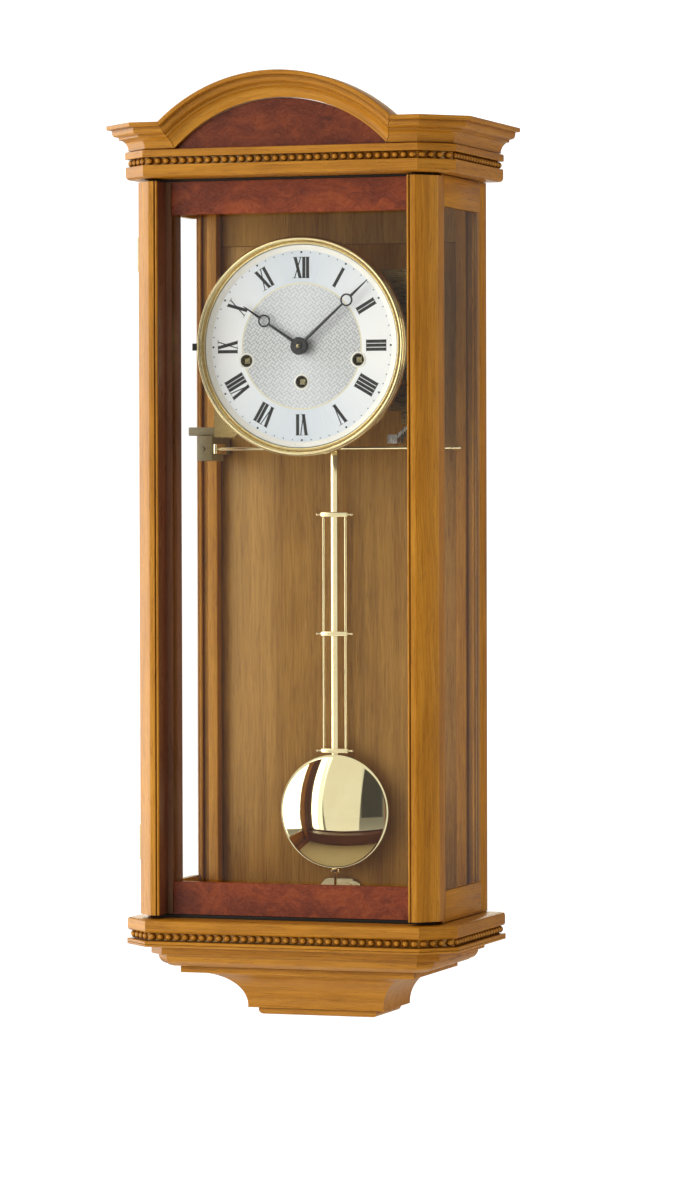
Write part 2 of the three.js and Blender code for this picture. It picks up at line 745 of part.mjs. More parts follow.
// hand of tapered bars and an open circle, pointing up, then turned clockwise
function hand(length, ringAt, y0, y1, hub, turn) {
  const ringOut = 4.6;
  const ringIn = 3.2;
  const bar = [[-1.4, 0], [1.4, 0], [0.9, ringAt - 3.9], [-0.9, ringAt - 3.9]];
  const tip = [[-0.8, ringAt + 3.9], [0.8, ringAt + 3.9], [0.4, length], [-0.4, length]];
  const parts = [
    panel(circle(0, 0, hub, 20), y0, y1),
    panel(bar, y0, y1),
    panel(circle(0, ringAt, ringOut, 20), y0, y1, [[0, ringAt, ringIn]], 10),
    panel(tip, y0, y1),
  ];
  return join(...parts).rotateY(THREE.MathUtils.degToRad(turn));
}

function hands() {
  const minute = join(hand(67.8, 47.2, -92.8, -92, 6.2, 48), rodY(0, 0, 2.6, -93.8, -68));
  add('minute_hand', minute.translate(0, 0, DIAL_Z), BLACK);
  const pipe = join(hand(50.4, 32, -90.4, -89.6, 6, 304), rodY(0, 0, 4.2, -91, -80));
  const hour = cut(pipe, rodY(0, 0, 3, -95, -70));
  add('hour_hand', hour.translate(0, 0, DIAL_Z), BLACK);
}

// ---------------------------------------------------------------- chime
function chimeBlock() {
  const low = CHIME_Z - 8.5;
  const high = CHIME_Z + 15.5;
  add('chime_block', join(
    box(-95, -83, -42, -19, low, high),
    box(-102.7, -74.5, -38, -30, high - 6, high),
    box(-89, -83, -20, PANEL_FRONT - GAP, CHIME_Z - 4, CHIME_Z + 8),
  ), BRONZE);
  const rods = CHIME_YS.map((y, i) => rodX(y, CHIME_Z, CHIME_ROD_R, -81, 97 - 5 * i));
  const holder = box(-83 + GAP, -80, -41, -19.5, CHIME_Z - 3.5, CHIME_Z + 3.5);
  add('chime_rods', join(holder, ...rods), BRASS);
}

// hammer in the plane y: slanted shaft from the arbor down to a square head above its rod
function hammer(number, y) {
  const slant = [[-17.5, -15.5], [-16, -17], [2.2, -0.7], [0.7, 0.8]];
  const shaft = slant.map(([x, z]) => [HAMMER_X + x, HAMMER_Z + z]);
  const head = box(-21, -14, y - 2, y + 2, -18.8, -12.5).translate(HAMMER_X, 0, HAMMER_Z);
  const hub = rodY(HAMMER_X, HAMMER_Z, 2.6, y - 1.8, y + 1.8, 12);
  const bore = rodY(HAMMER_X, HAMMER_Z, 1.3, y - 3, y + 3, 12);
  add(`hammer_${number}`, cut(join(panel(shaft, y - 0.7, y + 0.7), head, hub), bore), STEEL);
}

function chime() {
  chimeBlock();
  CHIME_YS.forEach((y, i) => hammer(i + 1, y));
}

// ---------------------------------------------------------------- pendulum
const SIDE_ROD_X = 8.2;
const FLAT_T = 1.5; // thickness of the flat rod

function pendulumRod() {
  const flatTop = SWING_Z + 2;
  const flatLow = BOB_Z - BOB_R + 4;
  const parts = [
    box(-2.5, 2.5, ROD_Y - FLAT_T / 2, ROD_Y + FLAT_T / 2, flatLow, flatTop),
    rodZ(0, ROD_Y, 1, ROD_TIP_Z, flatLow + 2, 10),
  ];
  for (const x of [-SIDE_ROD_X, SIDE_ROD_X]) {
    parts.push(rodZ(x, ROD_Y, 1, CROSSBARS[2], CROSSBARS[0], 10));
  }
  for (const z of CROSSBARS) {
    parts.push(box(-10.3, 10.3, ROD_Y - 1.5, ROD_Y + 1.5, z - 1.8, z + 1.8));
    parts.push(rodX(ROD_Y, z, 0.8, -13, 13));
    parts.push(new THREE.SphereGeometry(1.2, 8, 6).translate(-13, ROD_Y, z));
    parts.push(new THREE.SphereGeometry(1.2, 8, 6).translate(13, ROD_Y, z));
  }
  add('pendulum_rod', join(...parts), BRASS);
}

// shallow dome with a flat back that lies in front of the rod
function bob() {
  const back = ROD_Y - FLAT_T / 2 - GAP;
  const rise = 8.6;
  const dip = rise - 0.6; // the dome ends in a rim 0.6 thick
  const sphere = (BOB_R ** 2 + dip ** 2) / (2 * dip);
  const reach = THREE.MathUtils.radToDeg(Math.asin((BOB_R - 0.2) / sphere));
  const dome = arc(0, 0, sphere, 90, 90 - reach, 7).map(([r, y]) => [r, back - rise + sphere - y]);
  dome[0][0] = 0;
  const profile = [...dome, [BOB_R, back - 0.5], [BOB_R - 0.4, back], [0, back]];
  add('pendulum_bob', turned(0, BOB_Z, profile, 48), BRASS);
}

function ratingNut() {
  const r = 4;
  const tall = 2.8;
  const bore = 1.3;
  const section = [[bore, -tall], [r, -tall], [r, 0], [bore, 0], [bore, -tall]];
  const profile = section.map(([x, z]) => new THREE.Vector2(x, z));
  const nut = new THREE.LatheGeometry(profile, 20).rotateX(Math.PI / 2);
  add('rating_nut', nut.translate(0, ROD_Y, BOB_Z - BOB_R - GAP), BRASS);
}

function pendulum() {
  pendulumRod();
  bob();
  ratingNut();
  const wings = [[-14.5, -490], [-14.5, -481], [-9, -476.5], [9, -476.5], [15.5, -479], [15.5, -490]];
  add('beat_plate', panel(wings, -8, PANEL_FRONT - GAP), BRASS);
}

carcass();
crown();
base();
door();
movement();
dial();
hands();
chime();
pendulum();

export default clock;
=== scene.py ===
"""Looks of the pendulum wall clock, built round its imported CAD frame.

Shapes are worked out in millimetres in the frame's own axes (+Z up, the front towards -Y)
and written to the meshes in metres.
"""

import json
import math
import random

import bmesh
import bpy
from mathutils import Matrix, Quaternion, Vector


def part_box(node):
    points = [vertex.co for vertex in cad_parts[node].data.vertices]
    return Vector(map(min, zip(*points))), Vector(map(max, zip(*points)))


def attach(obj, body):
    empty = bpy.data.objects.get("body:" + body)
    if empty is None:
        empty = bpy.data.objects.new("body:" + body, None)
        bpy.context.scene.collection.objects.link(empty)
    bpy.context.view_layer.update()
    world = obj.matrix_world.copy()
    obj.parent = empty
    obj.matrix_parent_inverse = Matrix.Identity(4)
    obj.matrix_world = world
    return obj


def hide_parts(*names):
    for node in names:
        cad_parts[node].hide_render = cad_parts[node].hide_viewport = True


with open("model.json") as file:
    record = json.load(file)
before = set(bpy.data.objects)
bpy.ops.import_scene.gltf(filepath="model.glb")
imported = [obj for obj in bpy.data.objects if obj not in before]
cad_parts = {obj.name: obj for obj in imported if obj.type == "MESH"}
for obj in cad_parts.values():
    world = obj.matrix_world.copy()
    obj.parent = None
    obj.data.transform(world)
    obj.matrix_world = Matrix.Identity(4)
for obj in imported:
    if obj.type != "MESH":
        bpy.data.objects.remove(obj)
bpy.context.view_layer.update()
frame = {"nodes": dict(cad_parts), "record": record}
MM = 0.001
random.seed(7)


def span(node):
    """Lowest and highest corner of a CAD node, in millimetres."""
    low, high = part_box(node)
    return low / MM, high / MM


# ------------------------------------------------------------------ camera and lamps
AIM = Vector((0.0282, -0.0787, -0.2755))
AZIMUTH = math.radians(18.76)
ELEVATION = math.radians(1.24)
ROLL = math.radians(-0.146)
DISTANCE = 3.353
LENS = 143.9
LAMP_AIM_Z = -0.25
FLOOR_Z = -1.6
FLOOR_HALF = 8
FLOOR_GLOW = 0.8  # the floor's own light, for the camera only
BACKDROP_LIGHT = 1.25  # the white behind the clock, for the camera only
ROOM_LIGHT = 0.24  # the soft light all round, and what is left of it before the curtain
CURTAIN_LIGHT = 0.05
CURTAIN_AZIMUTH = math.radians(16)
CURTAIN_HALF = math.radians(8)
CURTAIN_EDGE = math.radians(2)
WHITE = (1, 1, 1)
WARM = (1, 0.985, 0.95)
GOLDEN = (1, 0.93, 0.76)
LAMPS = [  # name, azimuth, height, distance, width, tall, watts, tint
    ("key_left", -50, 0.35, 2.3, 1.4, 2.5, 38, WARM),
    ("left_sheen", -106, 0.1, 2.6, 1.5, 2.6, 30, WARM),
    ("bright_strip", -33, 0.75, 2.7, 0.24, 4.3, 9, WARM),
    ("soft_strip", -28.5, 0.75, 2.7, 0.22, 4.3, 3.8, WARM),
    ("front_panel", -9.5, 0.75, 2.7, 1.7, 4.3, 16, WARM),
    ("floor_bounce", -10, -1.3, 1.5, 2.4, 0.9, 8, WARM),
    ("right_fill", 92, 0.3, 3.0, 1.2, 1.8, 32, GOLDEN),
    ("back_fill", 200, 0.6, 3.2, 1.6, 1.6, 16, GOLDEN),
    ("top_wash", 0, 2.6, 0.4, 3.0, 3.0, 12, WARM),
]


def make_camera():
    data = bpy.data.cameras.new("camera")
    data.lens = LENS
    data.clip_end = 50
    camera = bpy.data.objects.new("camera", data)
    bpy.context.scene.collection.objects.link(camera)
    flat = math.cos(ELEVATION)
    back = Vector((math.sin(AZIMUTH) * flat, -math.cos(AZIMUTH) * flat, math.sin(ELEVATION)))
    camera.location = AIM + back * DISTANCE
    camera.rotation_mode = "QUATERNION"
    camera.rotation_quaternion = (-back).to_track_quat("-Z", "Y") @ Quaternion((0, 0, 1), ROLL)
    bpy.context.scene.camera = camera


def softbox(name, azimuth, height, distance, width, tall, watts, tint):
    """Rectangular lamp that faces the middle of the clock from that azimuth, front being 0."""
    data = bpy.data.lights.new(name, "AREA")
    data.shape = "RECTANGLE"
    data.size = width
    data.size_y = tall
    data.energy = watts
    data.color = tint
    lamp = bpy.data.objects.new(name, data)
    bpy.context.scene.collection.objects.link(lamp)
    turn = math.radians(azimuth)
    away = Vector((math.sin(turn) * distance, -math.cos(turn) * distance, height))
    lamp.location = Vector((0, 0, LAMP_AIM_Z)) + away
    lamp.rotation_mode = "QUATERNION"
    lamp.rotation_quaternion = (-away).to_track_quat("-Z", "Y")


# ------------------------------------------------------------------ node helper
class Tree:
    """Node tree of a material or a world, with short calls to add and join its nodes."""

    def __init__(self, owner):
        owner.use_nodes = True
        self.owner = owner
        self.tree = owner.node_tree
        self.shader = self.tree.nodes.get("Principled BSDF")

    def put(self, socket, value):
        if isinstance(value, bpy.types.NodeSocket):
            self.tree.links.new(value, socket)
        elif hasattr(socket.default_value, "__len__") and len(socket.default_value) == 4:
            socket.default_value = (*value[:3], 1)
        else:
            socket.default_value = value

    def add(self, kind, inputs=None, out=0, **settings):
        node = self.tree.nodes.new(f"ShaderNode{kind}")
        for key, value in settings.items():
            setattr(node, key, value)
        for key, value in (inputs or {}).items():
            self.put(node.inputs[key], value)
        return node.outputs[out]

    def set(self, **values):
        """Sets the main shader's inputs, written with _ for a space."""
        for key, value in values.items():
            self.put(self.shader.inputs[key.replace("_", " ").title().replace("Ior", "IOR")], value)

    def math(self, operation, a, b=0.0):
        return self.add("Math", {0: a, 1: b}, operation=operation)

    def blend(self, *parts):
        """Sum of factors, each with its weight."""
        total = None
        for factor, weight in parts:
            part = self.math("MULTIPLY", factor, weight)
            total = part if total is None else self.math("ADD", total, part)
        return total

    def vector(self, operation, a, b):
        return self.add("VectorMath", {0: a, 1: b}, operation=operation)

    def split(self, vector):
        node = self.tree.nodes.new("ShaderNodeSeparateXYZ")
        self.put(node.inputs[0], vector)
        return node.outputs

    def grain(self, axis=None):
        """The board's own coordinates in millimetres, the first one along its grain. A CAD node
        has none of its own and takes its place in the clock, with its grain along an axis."""
        if axis is None:
            return self.add("Attribute", out=1, attribute_name="grain")
        turn = {"X": (0, 0, 0), "Y": (0, 0, math.pi / 2), "Z": (0, math.pi / 2, 0)}[axis]
        return self.add("Mapping", {0: self.add("TexCoord", out=3), 2: turn, 3: (1 / MM,) * 3})

    def scaled(self, *scale):
        """The object's own coordinates, scaled along each axis."""
        return self.add("Mapping", {0: self.add("TexCoord", out=3), 3: scale})

    def stretch(self, vector, along, across):
        return self.add("Mapping", {0: vector, 3: (along, across, across)})

    def noise(self, vector, detail=2.0, rough=0.5, distortion=0.0):
        inputs = {"Vector": vector, "Scale": 1.0, "Detail": detail, "Roughness": rough}
        inputs["Distortion"] = distortion
        return self.add("TexNoise", inputs)

    def ramp(self, factor, *stops):
        node = self.tree.nodes.new("ShaderNodeValToRGB")
        self.put(node.inputs[0], factor)
        elements = node.color_ramp.elements
        while len(elements) < len(stops):
            elements.new(0.5)
        for element, (place, colour) in zip(elements, stops):
            element.position = place
            element.color = (*colour, 1)
        return node.outputs[0]

    def level(self, factor, low, high, start=0.0, end=1.0):
        """Maps a factor from start..end to low..high."""
        inputs = {"Value": factor, 1: start, 2: end, 3: low, 4: high}
        return self.add("MapRange", inputs)

    def mix(self, factor, a, b, blend="MIX"):
        node = self.tree.nodes.new("ShaderNodeMix")
        node.data_type = "RGBA"
        node.blend_type = blend
        self.put(node.inputs[0], factor)
        self.put(node.inputs[6], a)
        self.put(node.inputs[7], b)
        return node.outputs[2]

    def bump(self, height, strength, depth):
        inputs = {"Height": height, "Strength": strength, "Distance": depth * MM}
        self.put(self.shader.inputs["Normal"], self.add("Bump", inputs))


# ------------------------------------------------------------------ studio
def curtain(t):
    """Strength of the room's soft light: low behind a dark curtain right of the front."""
    parts = t.split(t.add("TexCoord"))
    turn = t.math("ARCTAN2", parts[0], t.math("MULTIPLY", parts[1], -1))
    away = t.math("ABSOLUTE", t.math("SUBTRACT", turn, CURTAIN_AZIMUTH))
    return t.level(away, CURTAIN_LIGHT, ROOM_LIGHT, CURTAIN_HALF, CURTAIN_HALF + CURTAIN_EDGE)


def make_studio():
    t = Tree(bpy.data.worlds.new("studio"))
    bpy.context.scene.world = t.owner
    nodes = t.tree.nodes
    fill = nodes["Background"]
    t.put(fill.inputs["Color"], (1, 0.97, 0.92))
    t.put(fill.inputs["Strength"], curtain(t))
    white = t.add("Background", {"Color": WHITE, "Strength": BACKDROP_LIGHT})
    choose = t.add("MixShader", {0: t.add("LightPath"), 1: fill.outputs[0], 2: white})
    t.put(nodes["World Output"].inputs["Surface"], choose)
    for lamp in LAMPS:
        softbox(*lamp)


def make_floor():
    mesh = bpy.data.meshes.new("floor")
    half = FLOOR_HALF
    corners = [(-half, -half), (half, -half), (half, half), (-half, half)]
    mesh.from_pydata([(x, y, FLOOR_Z) for x, y in corners], [], [(0, 1, 2, 3)])
    floor = bpy.data.objects.new("floor", mesh)
    bpy.context.scene.collection.objects.link(floor)
    t = Tree(bpy.data.materials.new("floor_paint"))
    t.set(base_color=(0.93, 0.93, 0.93), roughness=0.9, emission_color=WHITE)
    t.set(emission_strength=t.math("MULTIPLY", t.add("LightPath"), FLOOR_GLOW))
    mesh.materials.append(t.owner)


# ------------------------------------------------------------------ materials
def wood(name, deep, middle, pale, axis=None, pores=0.5, gloss=0.3, streak=1.0):
    """Lacquered wood with wavy fibres, broad bands of colour, short dark pores and painted shade in
    its creases.
    """
    t = Tree(bpy.data.materials.new(name))
    place = t.grain(axis)
    bend = t.noise(t.stretch(place, 0.008, 0.03), detail=3)
    shift = t.math("MULTIPLY", t.math("SUBTRACT", bend, 0.5), 9.0)
    offset = t.add("CombineXYZ", {1: shift, 2: shift})
    bent = t.vector("ADD", place, offset)
    bands = t.noise(t.stretch(bent, 0.0035, 0.11 * streak), detail=3, rough=0.6)
    fibres = t.noise(t.stretch(bent, 0.02, 1.1 * streak), detail=4, rough=0.65)
    figure = t.noise(t.stretch(place, 0.02, 0.045), detail=2)
    tone = t.blend((bands, 0.42), (fibres, 0.4), (figure, 0.18))
    colour = t.ramp(tone, (0.38, deep), (0.5, middle), (0.62, pale))
    fleck = t.noise(t.stretch(bent, 0.06, 1.7), detail=3, rough=0.75)
    hole = t.level(fleck, 1.0, 0.0, 0.37, 0.44)
    dark = t.mix(1.0, colour, (0.5, 0.42, 0.36), "MULTIPLY")
    colour = t.mix(t.math("MULTIPLY", hole, pores), colour, dark)
    # Painted shade: ambient occlusion darkens the colour in creases and grooves between mouldings.
    crevice_shade_mask = t.add("AmbientOcclusion", {"Distance": 5 * MM}, out=1, samples=8)
    painted_shade = t.mix(1.0, colour, (0.3, 0.2, 0.14), "MULTIPLY")
    colour = t.mix(t.level(crevice_shade_mask, 0.85, 0.0, 0.3, 0.85), colour, painted_shade)
    t.set(base_color=colour, roughness=t.level(fibres, gloss - 0.06, gloss + 0.14, 0.3, 0.7))
    t.set(coat_weight=0.08, coat_roughness=0.2, specular_ior_level=0.35)
    t.set(specular_tint=(1, 0.97, 0.5))
    height = t.math("SUBTRACT", t.math("MULTIPLY", fibres, 0.6), t.math("MULTIPLY", hole, 0.5))
    t.bump(height, 0.25, 0.12)
    return t.owner


def burl(name, axis, shade=1.0):
    """Dark red-brown burl veneer: swirled blotches with small eyes under gloss lacquer; a shade
    below 1 darkens it as painted shade.
    """
    t = Tree(bpy.data.materials.new(name))
    place = t.grain(axis)
    swirl = t.add("TexNoise", {"Vector": place, "Scale": 0.035, "Detail": 3.0}, out=1)
    push = t.vector("SUBTRACT", swirl, (0.5, 0.5, 0.5))
    push = t.add("VectorMath", {0: push, "Scale": 38.0}, operation="SCALE")
    bent = t.vector("ADD", place, push)
    cloud = t.noise(t.stretch(bent, 0.035, 0.07), detail=5, rough=0.62, distortion=0.8)
    vein = t.noise(t.stretch(bent, 0.12, 0.5), detail=4, rough=0.7, distortion=1.2)
    eye = t.add("TexVoronoi", {"Vector": t.stretch(bent, 0.13, 0.13), "Scale": 1.0})
    tone = t.blend((cloud, 0.62), (vein, 0.38))
    stops = [(0.34, (0.1, 0.017, 0.006)), (0.47, (0.18, 0.032, 0.009))]
    stops += [(0.57, (0.26, 0.05, 0.012)), (0.7, (0.34, 0.08, 0.018))]
    colour = t.ramp(tone, *[(at, tuple(shade * part for part in stop)) for at, stop in stops])
    spot = t.level(eye, 0.5, 0.0, 0.06, 0.2)
    colour = t.mix(spot, colour, t.mix(1.0, colour, (0.42, 0.32, 0.3), "MULTIPLY"))
    t.set(base_color=colour, roughness=t.level(vein, 0.2, 0.34, 0.3, 0.7))
    t.set(coat_weight=0.08, coat_roughness=0.16, specular_ior_level=0.2)
    t.bump(vein, 0.12, 0.08)
    return t.owner


def metal(name, colour, shade, rough, fine=0.4, streak=(1, 1, 1), bump=0.0, coat=0.0):
    """Metal with a slight drift of colour and polish, streaked along an axis where asked."""
    t = Tree(bpy.data.materials.new(name))
    grit = t.noise(t.scaled(*(part * fine / MM for part in streak)), detail=3, rough=0.6)
    drift = t.noise(t.scaled(*(0.03 / MM,) * 3))
    tone = t.blend((grit, 0.5), (drift, 0.5))
    t.set(base_color=t.ramp(tone, (0.35, shade), (0.65, colour)), metallic=1.0)
    t.set(roughness=t.level(grit, rough * 0.7, rough * 1.4, 0.3, 0.7))
    if coat:
        t.set(coat_weight=coat, coat_roughness=0.08)
    if bump:
        t.bump(grit, bump, 0.05)
    return t.owner


def paint(name, colour, shade, rough, speck=0.8, depth=0.06):
    """Sprayed finish with a fine orange-peel surface."""
    t = Tree(bpy.data.materials.new(name))
    peel = t.noise(t.scaled(*(speck / MM,) * 3), detail=3, rough=0.6)
    t.set(base_color=t.ramp(peel, (0.35, shade), (0.65, colour)))
    t.set(roughness=t.level(peel, rough * 0.8, rough * 1.25, 0.3, 0.7))
    t.bump(peel, 0.3, depth)
    return t.owner


def glass(name):
    """Clear float glass: light goes straight through, and a faint reflection lies on it."""
    t = Tree(bpy.data.materials.new(name))
    nodes = t.tree.nodes
    nodes.remove(t.shader)
    smear = t.noise(t.scaled(9, 9, 3), detail=3)
    tint = t.ramp(smear, (0.3, (0.98, 0.986, 0.98)), (0.7, (0.992, 0.995, 0.992)))
    clear = t.add("BsdfTransparent", {"Color": tint})
    shine = t.add("BsdfGlossy", {"Roughness": t.level(smear, 0.0, 0.03, 0.3, 0.7)})
    edge = t.add("Fresnel", {"IOR": 1.36})
    front = t.math("SUBTRACT", 1.0, t.add("NewGeometry", out=6))
    edge = t.math("MULTIPLY", edge, front)
    t.put(nodes["Material Output"].inputs[0], t.add("MixShader", {0: edge, 1: clear, 2: shine}))
    return t.owner


GOLD_DEEP = (0.31, 0.108, 0.006)
GOLD = (0.44, 0.168, 0.010)
GOLD_PALE = (0.55, 0.235, 0.02)
# Tones of the painted shade on the inner faces round the door's glass, which the lamps hardly
# reach.
INNER_SHADE_TONES = [(0.11, 0.03, 0.016), (0.17, 0.052, 0.027), (0.23, 0.078, 0.038)]
BOARD = [(0.25, 0.1, 0.016), (0.37, 0.17, 0.03), (0.46, 0.225, 0.045)]


def make_materials():
    return {
        "cherry": wood("cherry_lacquer", GOLD_DEEP, GOLD, GOLD_PALE, pores=0.7),
        "cherry_x": wood("cherry_lacquer_x", GOLD_DEEP, GOLD, GOLD_PALE, "X", pores=0.7),
        "painted_shade": wood("inner_moulding_painted_shade", *INNER_SHADE_TONES),
        "board": wood("back_veneer", *BOARD, pores=0.8, gloss=0.36, streak=0.75),
        "board_z": wood("back_veneer_z", *BOARD, "Z", pores=0.8, gloss=0.36, streak=0.75),
        "burl": burl("burl_veneer", "X"),
        # Darker copy of the burl for the recessed tympanum: painted shade.
        "burl_arch_painted_shade": burl("burl_veneer_arch_painted_shade", "X", 0.72),
        "glass": glass("float_glass"),
        "brass": metal("polished_brass", (0.93, 0.81, 0.5), (0.86, 0.72, 0.4), 0.12, coat=0.3),
        "mirror": metal("mirror_brass", (0.93, 0.82, 0.5), (0.89, 0.77, 0.44), 0.035, fine=0.1),
        "satin": metal("satin_brass", (0.93, 0.84, 0.55), (0.84, 0.73, 0.44), 0.4, 0.8),
        "gilt": metal("gilt_bezel", (0.84, 0.71, 0.4), (0.7, 0.56, 0.28), 0.17, 0.6, coat=0.2),
        # Black of the strips in the door's gaps: painted shade.
        "gap_shade": paint("black_gap_shade", (0.02, 0.016, 0.013), (0.012, 0.01, 0.008), 0.9, 3.0, 0.1),
        # Dark olive of the bushes in the winding holes: painted shade.
        "shaded_bush": paint("olive_painted_shade", (0.1, 0.09, 0.045), (0.06, 0.052, 0.025), 0.35, 1.2, 0.02),
        # Brass of the movement and other brass CAD parts, darkened as painted shade from the dial
        # in front.
        "shaded_brass": metal("movement_brass_painted_shade", (0.42, 0.3, 0.12), (0.28, 0.19, 0.07), 0.3, 1.2,
                       (0.15, 1, 1.5), bump=0.1),
        # Winding arbors darkened to an olive brown: painted shade inside the winding holes; the
        # hand pin uses it too.
        "arbor": metal("winding_arbor_painted_shade", (0.3, 0.26, 0.15), (0.14, 0.12, 0.06), 0.25, 0.8),
        "steel": metal("steel_parts", (0.62, 0.62, 0.6), (0.45, 0.45, 0.44), 0.25, 1.0,
                       (1, 1, 0.2), bump=0.08),
        "bronze": paint("bronze_paint", (0.2, 0.15, 0.055), (0.15, 0.108, 0.038), 0.42),
        "black": paint("black_lacquer", (0.02, 0.02, 0.021), (0.011, 0.011, 0.012), 0.28, 1.4,
                       0.01),
        "ink": paint("printed_black", (0.009, 0.009, 0.009), (0.005, 0.005, 0.005), 0.5, 2.0, 0.01),
        # Pale sheet on the case floor: painted light.
        "floor_painted_light": paint("pale_painted_light", (0.95, 0.86, 0.6), (0.88, 0.78, 0.5), 0.7, 1.5, 0.1),
        "rim": paint("cream_enamel", (0.92, 0.9, 0.84), (0.87, 0.85, 0.78), 0.2, 0.6, 0.01),
    }


LOOKS = make_materials()


# ------------------------------------------------------------------ mesh helpers
def finish(name, bm, material, body, nodes=(), sharp=32, second=None):
    """Turns a bmesh in millimetres into a piece of the clock that rides on a body."""
    bmesh.ops.recalc_face_normals(bm, faces=bm.faces[:])
    bmesh.ops.scale(bm, vec=(MM, MM, MM), verts=bm.verts[:])
    mesh = bpy.data.meshes.new(name)
    bm.to_mesh(mesh)
    bm.free()
    mesh.shade_smooth()
    mesh.set_sharp_from_angle(angle=math.radians(sharp))
    mesh.materials.append(material)
    if second:
        mesh.materials.append(second)
    piece = bpy.data.objects.new(name, mesh)
    bpy.context.scene.collection.objects.link(piece)
    if nodes:
        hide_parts(*nodes)
    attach(piece, body)


def board_shift():
    """Random place in the wood, in millimetres, so that no two boards show the same figure."""
    return Vector((random.uniform(0, 900), random.uniform(0, 400), random.uniform(0, 400)))


def grain_by_axis(bm, axis):
    """Gives every corner its place in the board, the grain running along that axis."""
    layer = bm.loops.layers.float_vector.new("grain")
    shift = board_shift()
    order = [axis, (axis + 1) % 3, (axis + 2) % 3]
    for face in bm.faces:
        for loop in face.loops:
            loop[layer] = Vector(loop.vert.co[k] for k in order) + shift


def loft(bm, rings):
    """Capped skin over closed rings of points with equal counts; returns its faces, one list
    per span and the two caps last."""
    rows = [[bm.verts.new(point) for point in ring] for ring in rings]
    count = len(rows[0])
    turns = [(i, (i + 1) % count) for i in range(count)]
    spans = []
    for a, b in zip(rows, rows[1:]):
        spans.append([bm.faces.new((a[i], a[j], b[j], b[i])) for i, j in turns])
    return spans + [[bm.faces.new(rows[0][::-1]), bm.faces.new(rows[-1])]]


def arc(cx, cy, r, start, end, steps):
    """Points on a circle from one angle to another, in degrees."""
    turns = [math.radians(start + (end - start) * i / steps) for i in range(steps + 1)]
    return [(cx + r * math.cos(turn), cy + r * math.sin(turn)) for turn in turns]


def circle(cx, cy, r, count):
    return arc(cx, cy, r, 0, 360 * (count - 1) / count, count - 1)


def prism(bm, outline, y0, y1):
    """Front outline (x, z) given the thickness between y0 and y1."""
    loft(bm, [[(x, y, z) for x, z in outline] for y in (y0, y1)])


def box(bm, low, high, bevel, segments=2):
    """Block with its edges eased."""
    size = [b - a for a, b in zip(low, high)]
    middle = [(a + b) / 2 for a, b in zip(low, high)]
    matrix = Matrix.Translation(middle) @ Matrix.Diagonal((*size, 1))
    made = bmesh.ops.create_cube(bm, size=1, matrix=matrix)
    edges = {edge for vert in made["verts"] for edge in vert.link_edges}
    ease = {"offset": bevel, "segments": segments, "affect": "EDGES", "profile": 0.5}
    bmesh.ops.bevel(bm, geom=list(edges), **ease)


def facing(x, y, z):
    """Moves a body of revolution to a point and turns its axis to -Y, the way the clock faces."""
    return Matrix.Translation((x, y, z)) @ Matrix.Rotation(math.pi / 2, 4, "X")


def revolve(bm, profile, matrix, steps):
    """Body of revolution about the matrix's Z axis; a profile off the axis closes on itself."""
    turns = [2 * math.pi * i / steps for i in range(steps)]
    rows = []
    for r, h in profile:
        ring = [(r * math.cos(a), r * math.sin(a), h) for a in turns] if r else [(0, 0, h)]
        rows.append([bm.verts.new(matrix @ Vector(point)) for point in ring])
    pairs = list(zip(rows, rows[1:]))
    if len(rows[0]) > 1 and len(rows[-1]) > 1:
        pairs.append((rows[-1], rows[0]))
    for a, b in pairs:
        for i in range(steps):
            j = (i + 1) % steps
            corners = [a[i % len(a)], a[j % len(a)], b[j % len(b)], b[i % len(b)]]
            bm.faces.new(list(dict.fromkeys(corners)))


def rod(bm, start, end, r):
    """Round bar between two points with its ends eased."""
    start, run = Vector(start), Vector(end) - Vector(start)
    matrix = Matrix.Translation(start) @ run.to_track_quat("Z", "Y").to_matrix().to_4x4()
    ease, length = 0.2, run.length
    foot = [(0, 0), (r - ease, 0), (r, ease)]
    revolve(bm, foot + [(x, length - z) for x, z in reversed(foot)], matrix, 24)


def ball(bm, centre, r):
    tilts = [math.pi * (i / 10 - 0.5) for i in range(11)]
    profile = [(r * math.cos(a), r * math.sin(a)) for a in tilts]
    profile[0], profile[-1] = (0, -r), (0, r)
    revolve(bm, profile, facing(*centre), 16)


# ------------------------------------------------------------------ canted boards and mouldings
CROWN_LOW, CROWN_HIGH = span("crown_board")
BASE_LOW, BASE_HIGH = span("base_board")
CORNICE_LOW, CORNICE_HIGH = span("cornice_left")
ARCH_HIGH = span("cornice_arch")[1]
FASCIA_OUT = 2.3  # how far the crown board's top fascia stands out from the plan line
PLAN_W = CROWN_HIGH.x - FASCIA_OUT
PLAN_D = -CROWN_LOW.y - FASCIA_OUT
PLAN_CANT = 19.8
MITRE = math.tan(math.pi / 8)
CORNICE_H = CORNICE_HIGH.z - CORNICE_LOW.z
BEAD_H = 5.4  # height of a bead channel
BEAD_DEEP = -2.0  # bottom of a bead channel
BEAD_GAP = 0.3
BEAD_PITCH = 6.2
BEAD_SEAT = -0.75  # line of the beads' centres
FILLET = -0.9  # face of the fillet behind them


def canted_path(out):
    """Plan corners moved outwards, from the back left round the front to the back right."""
    side = PLAN_W + out
    front = -(PLAN_D + out)
    cant_y = -(PLAN_D - PLAN_CANT) - out * MITRE
    cant_x = PLAN_W - PLAN_CANT + out * MITRE
    left = [(-side, 0), (-side, cant_y), (-cant_x, front)]
    return left + [(-x, y) for x, y in reversed(left)]


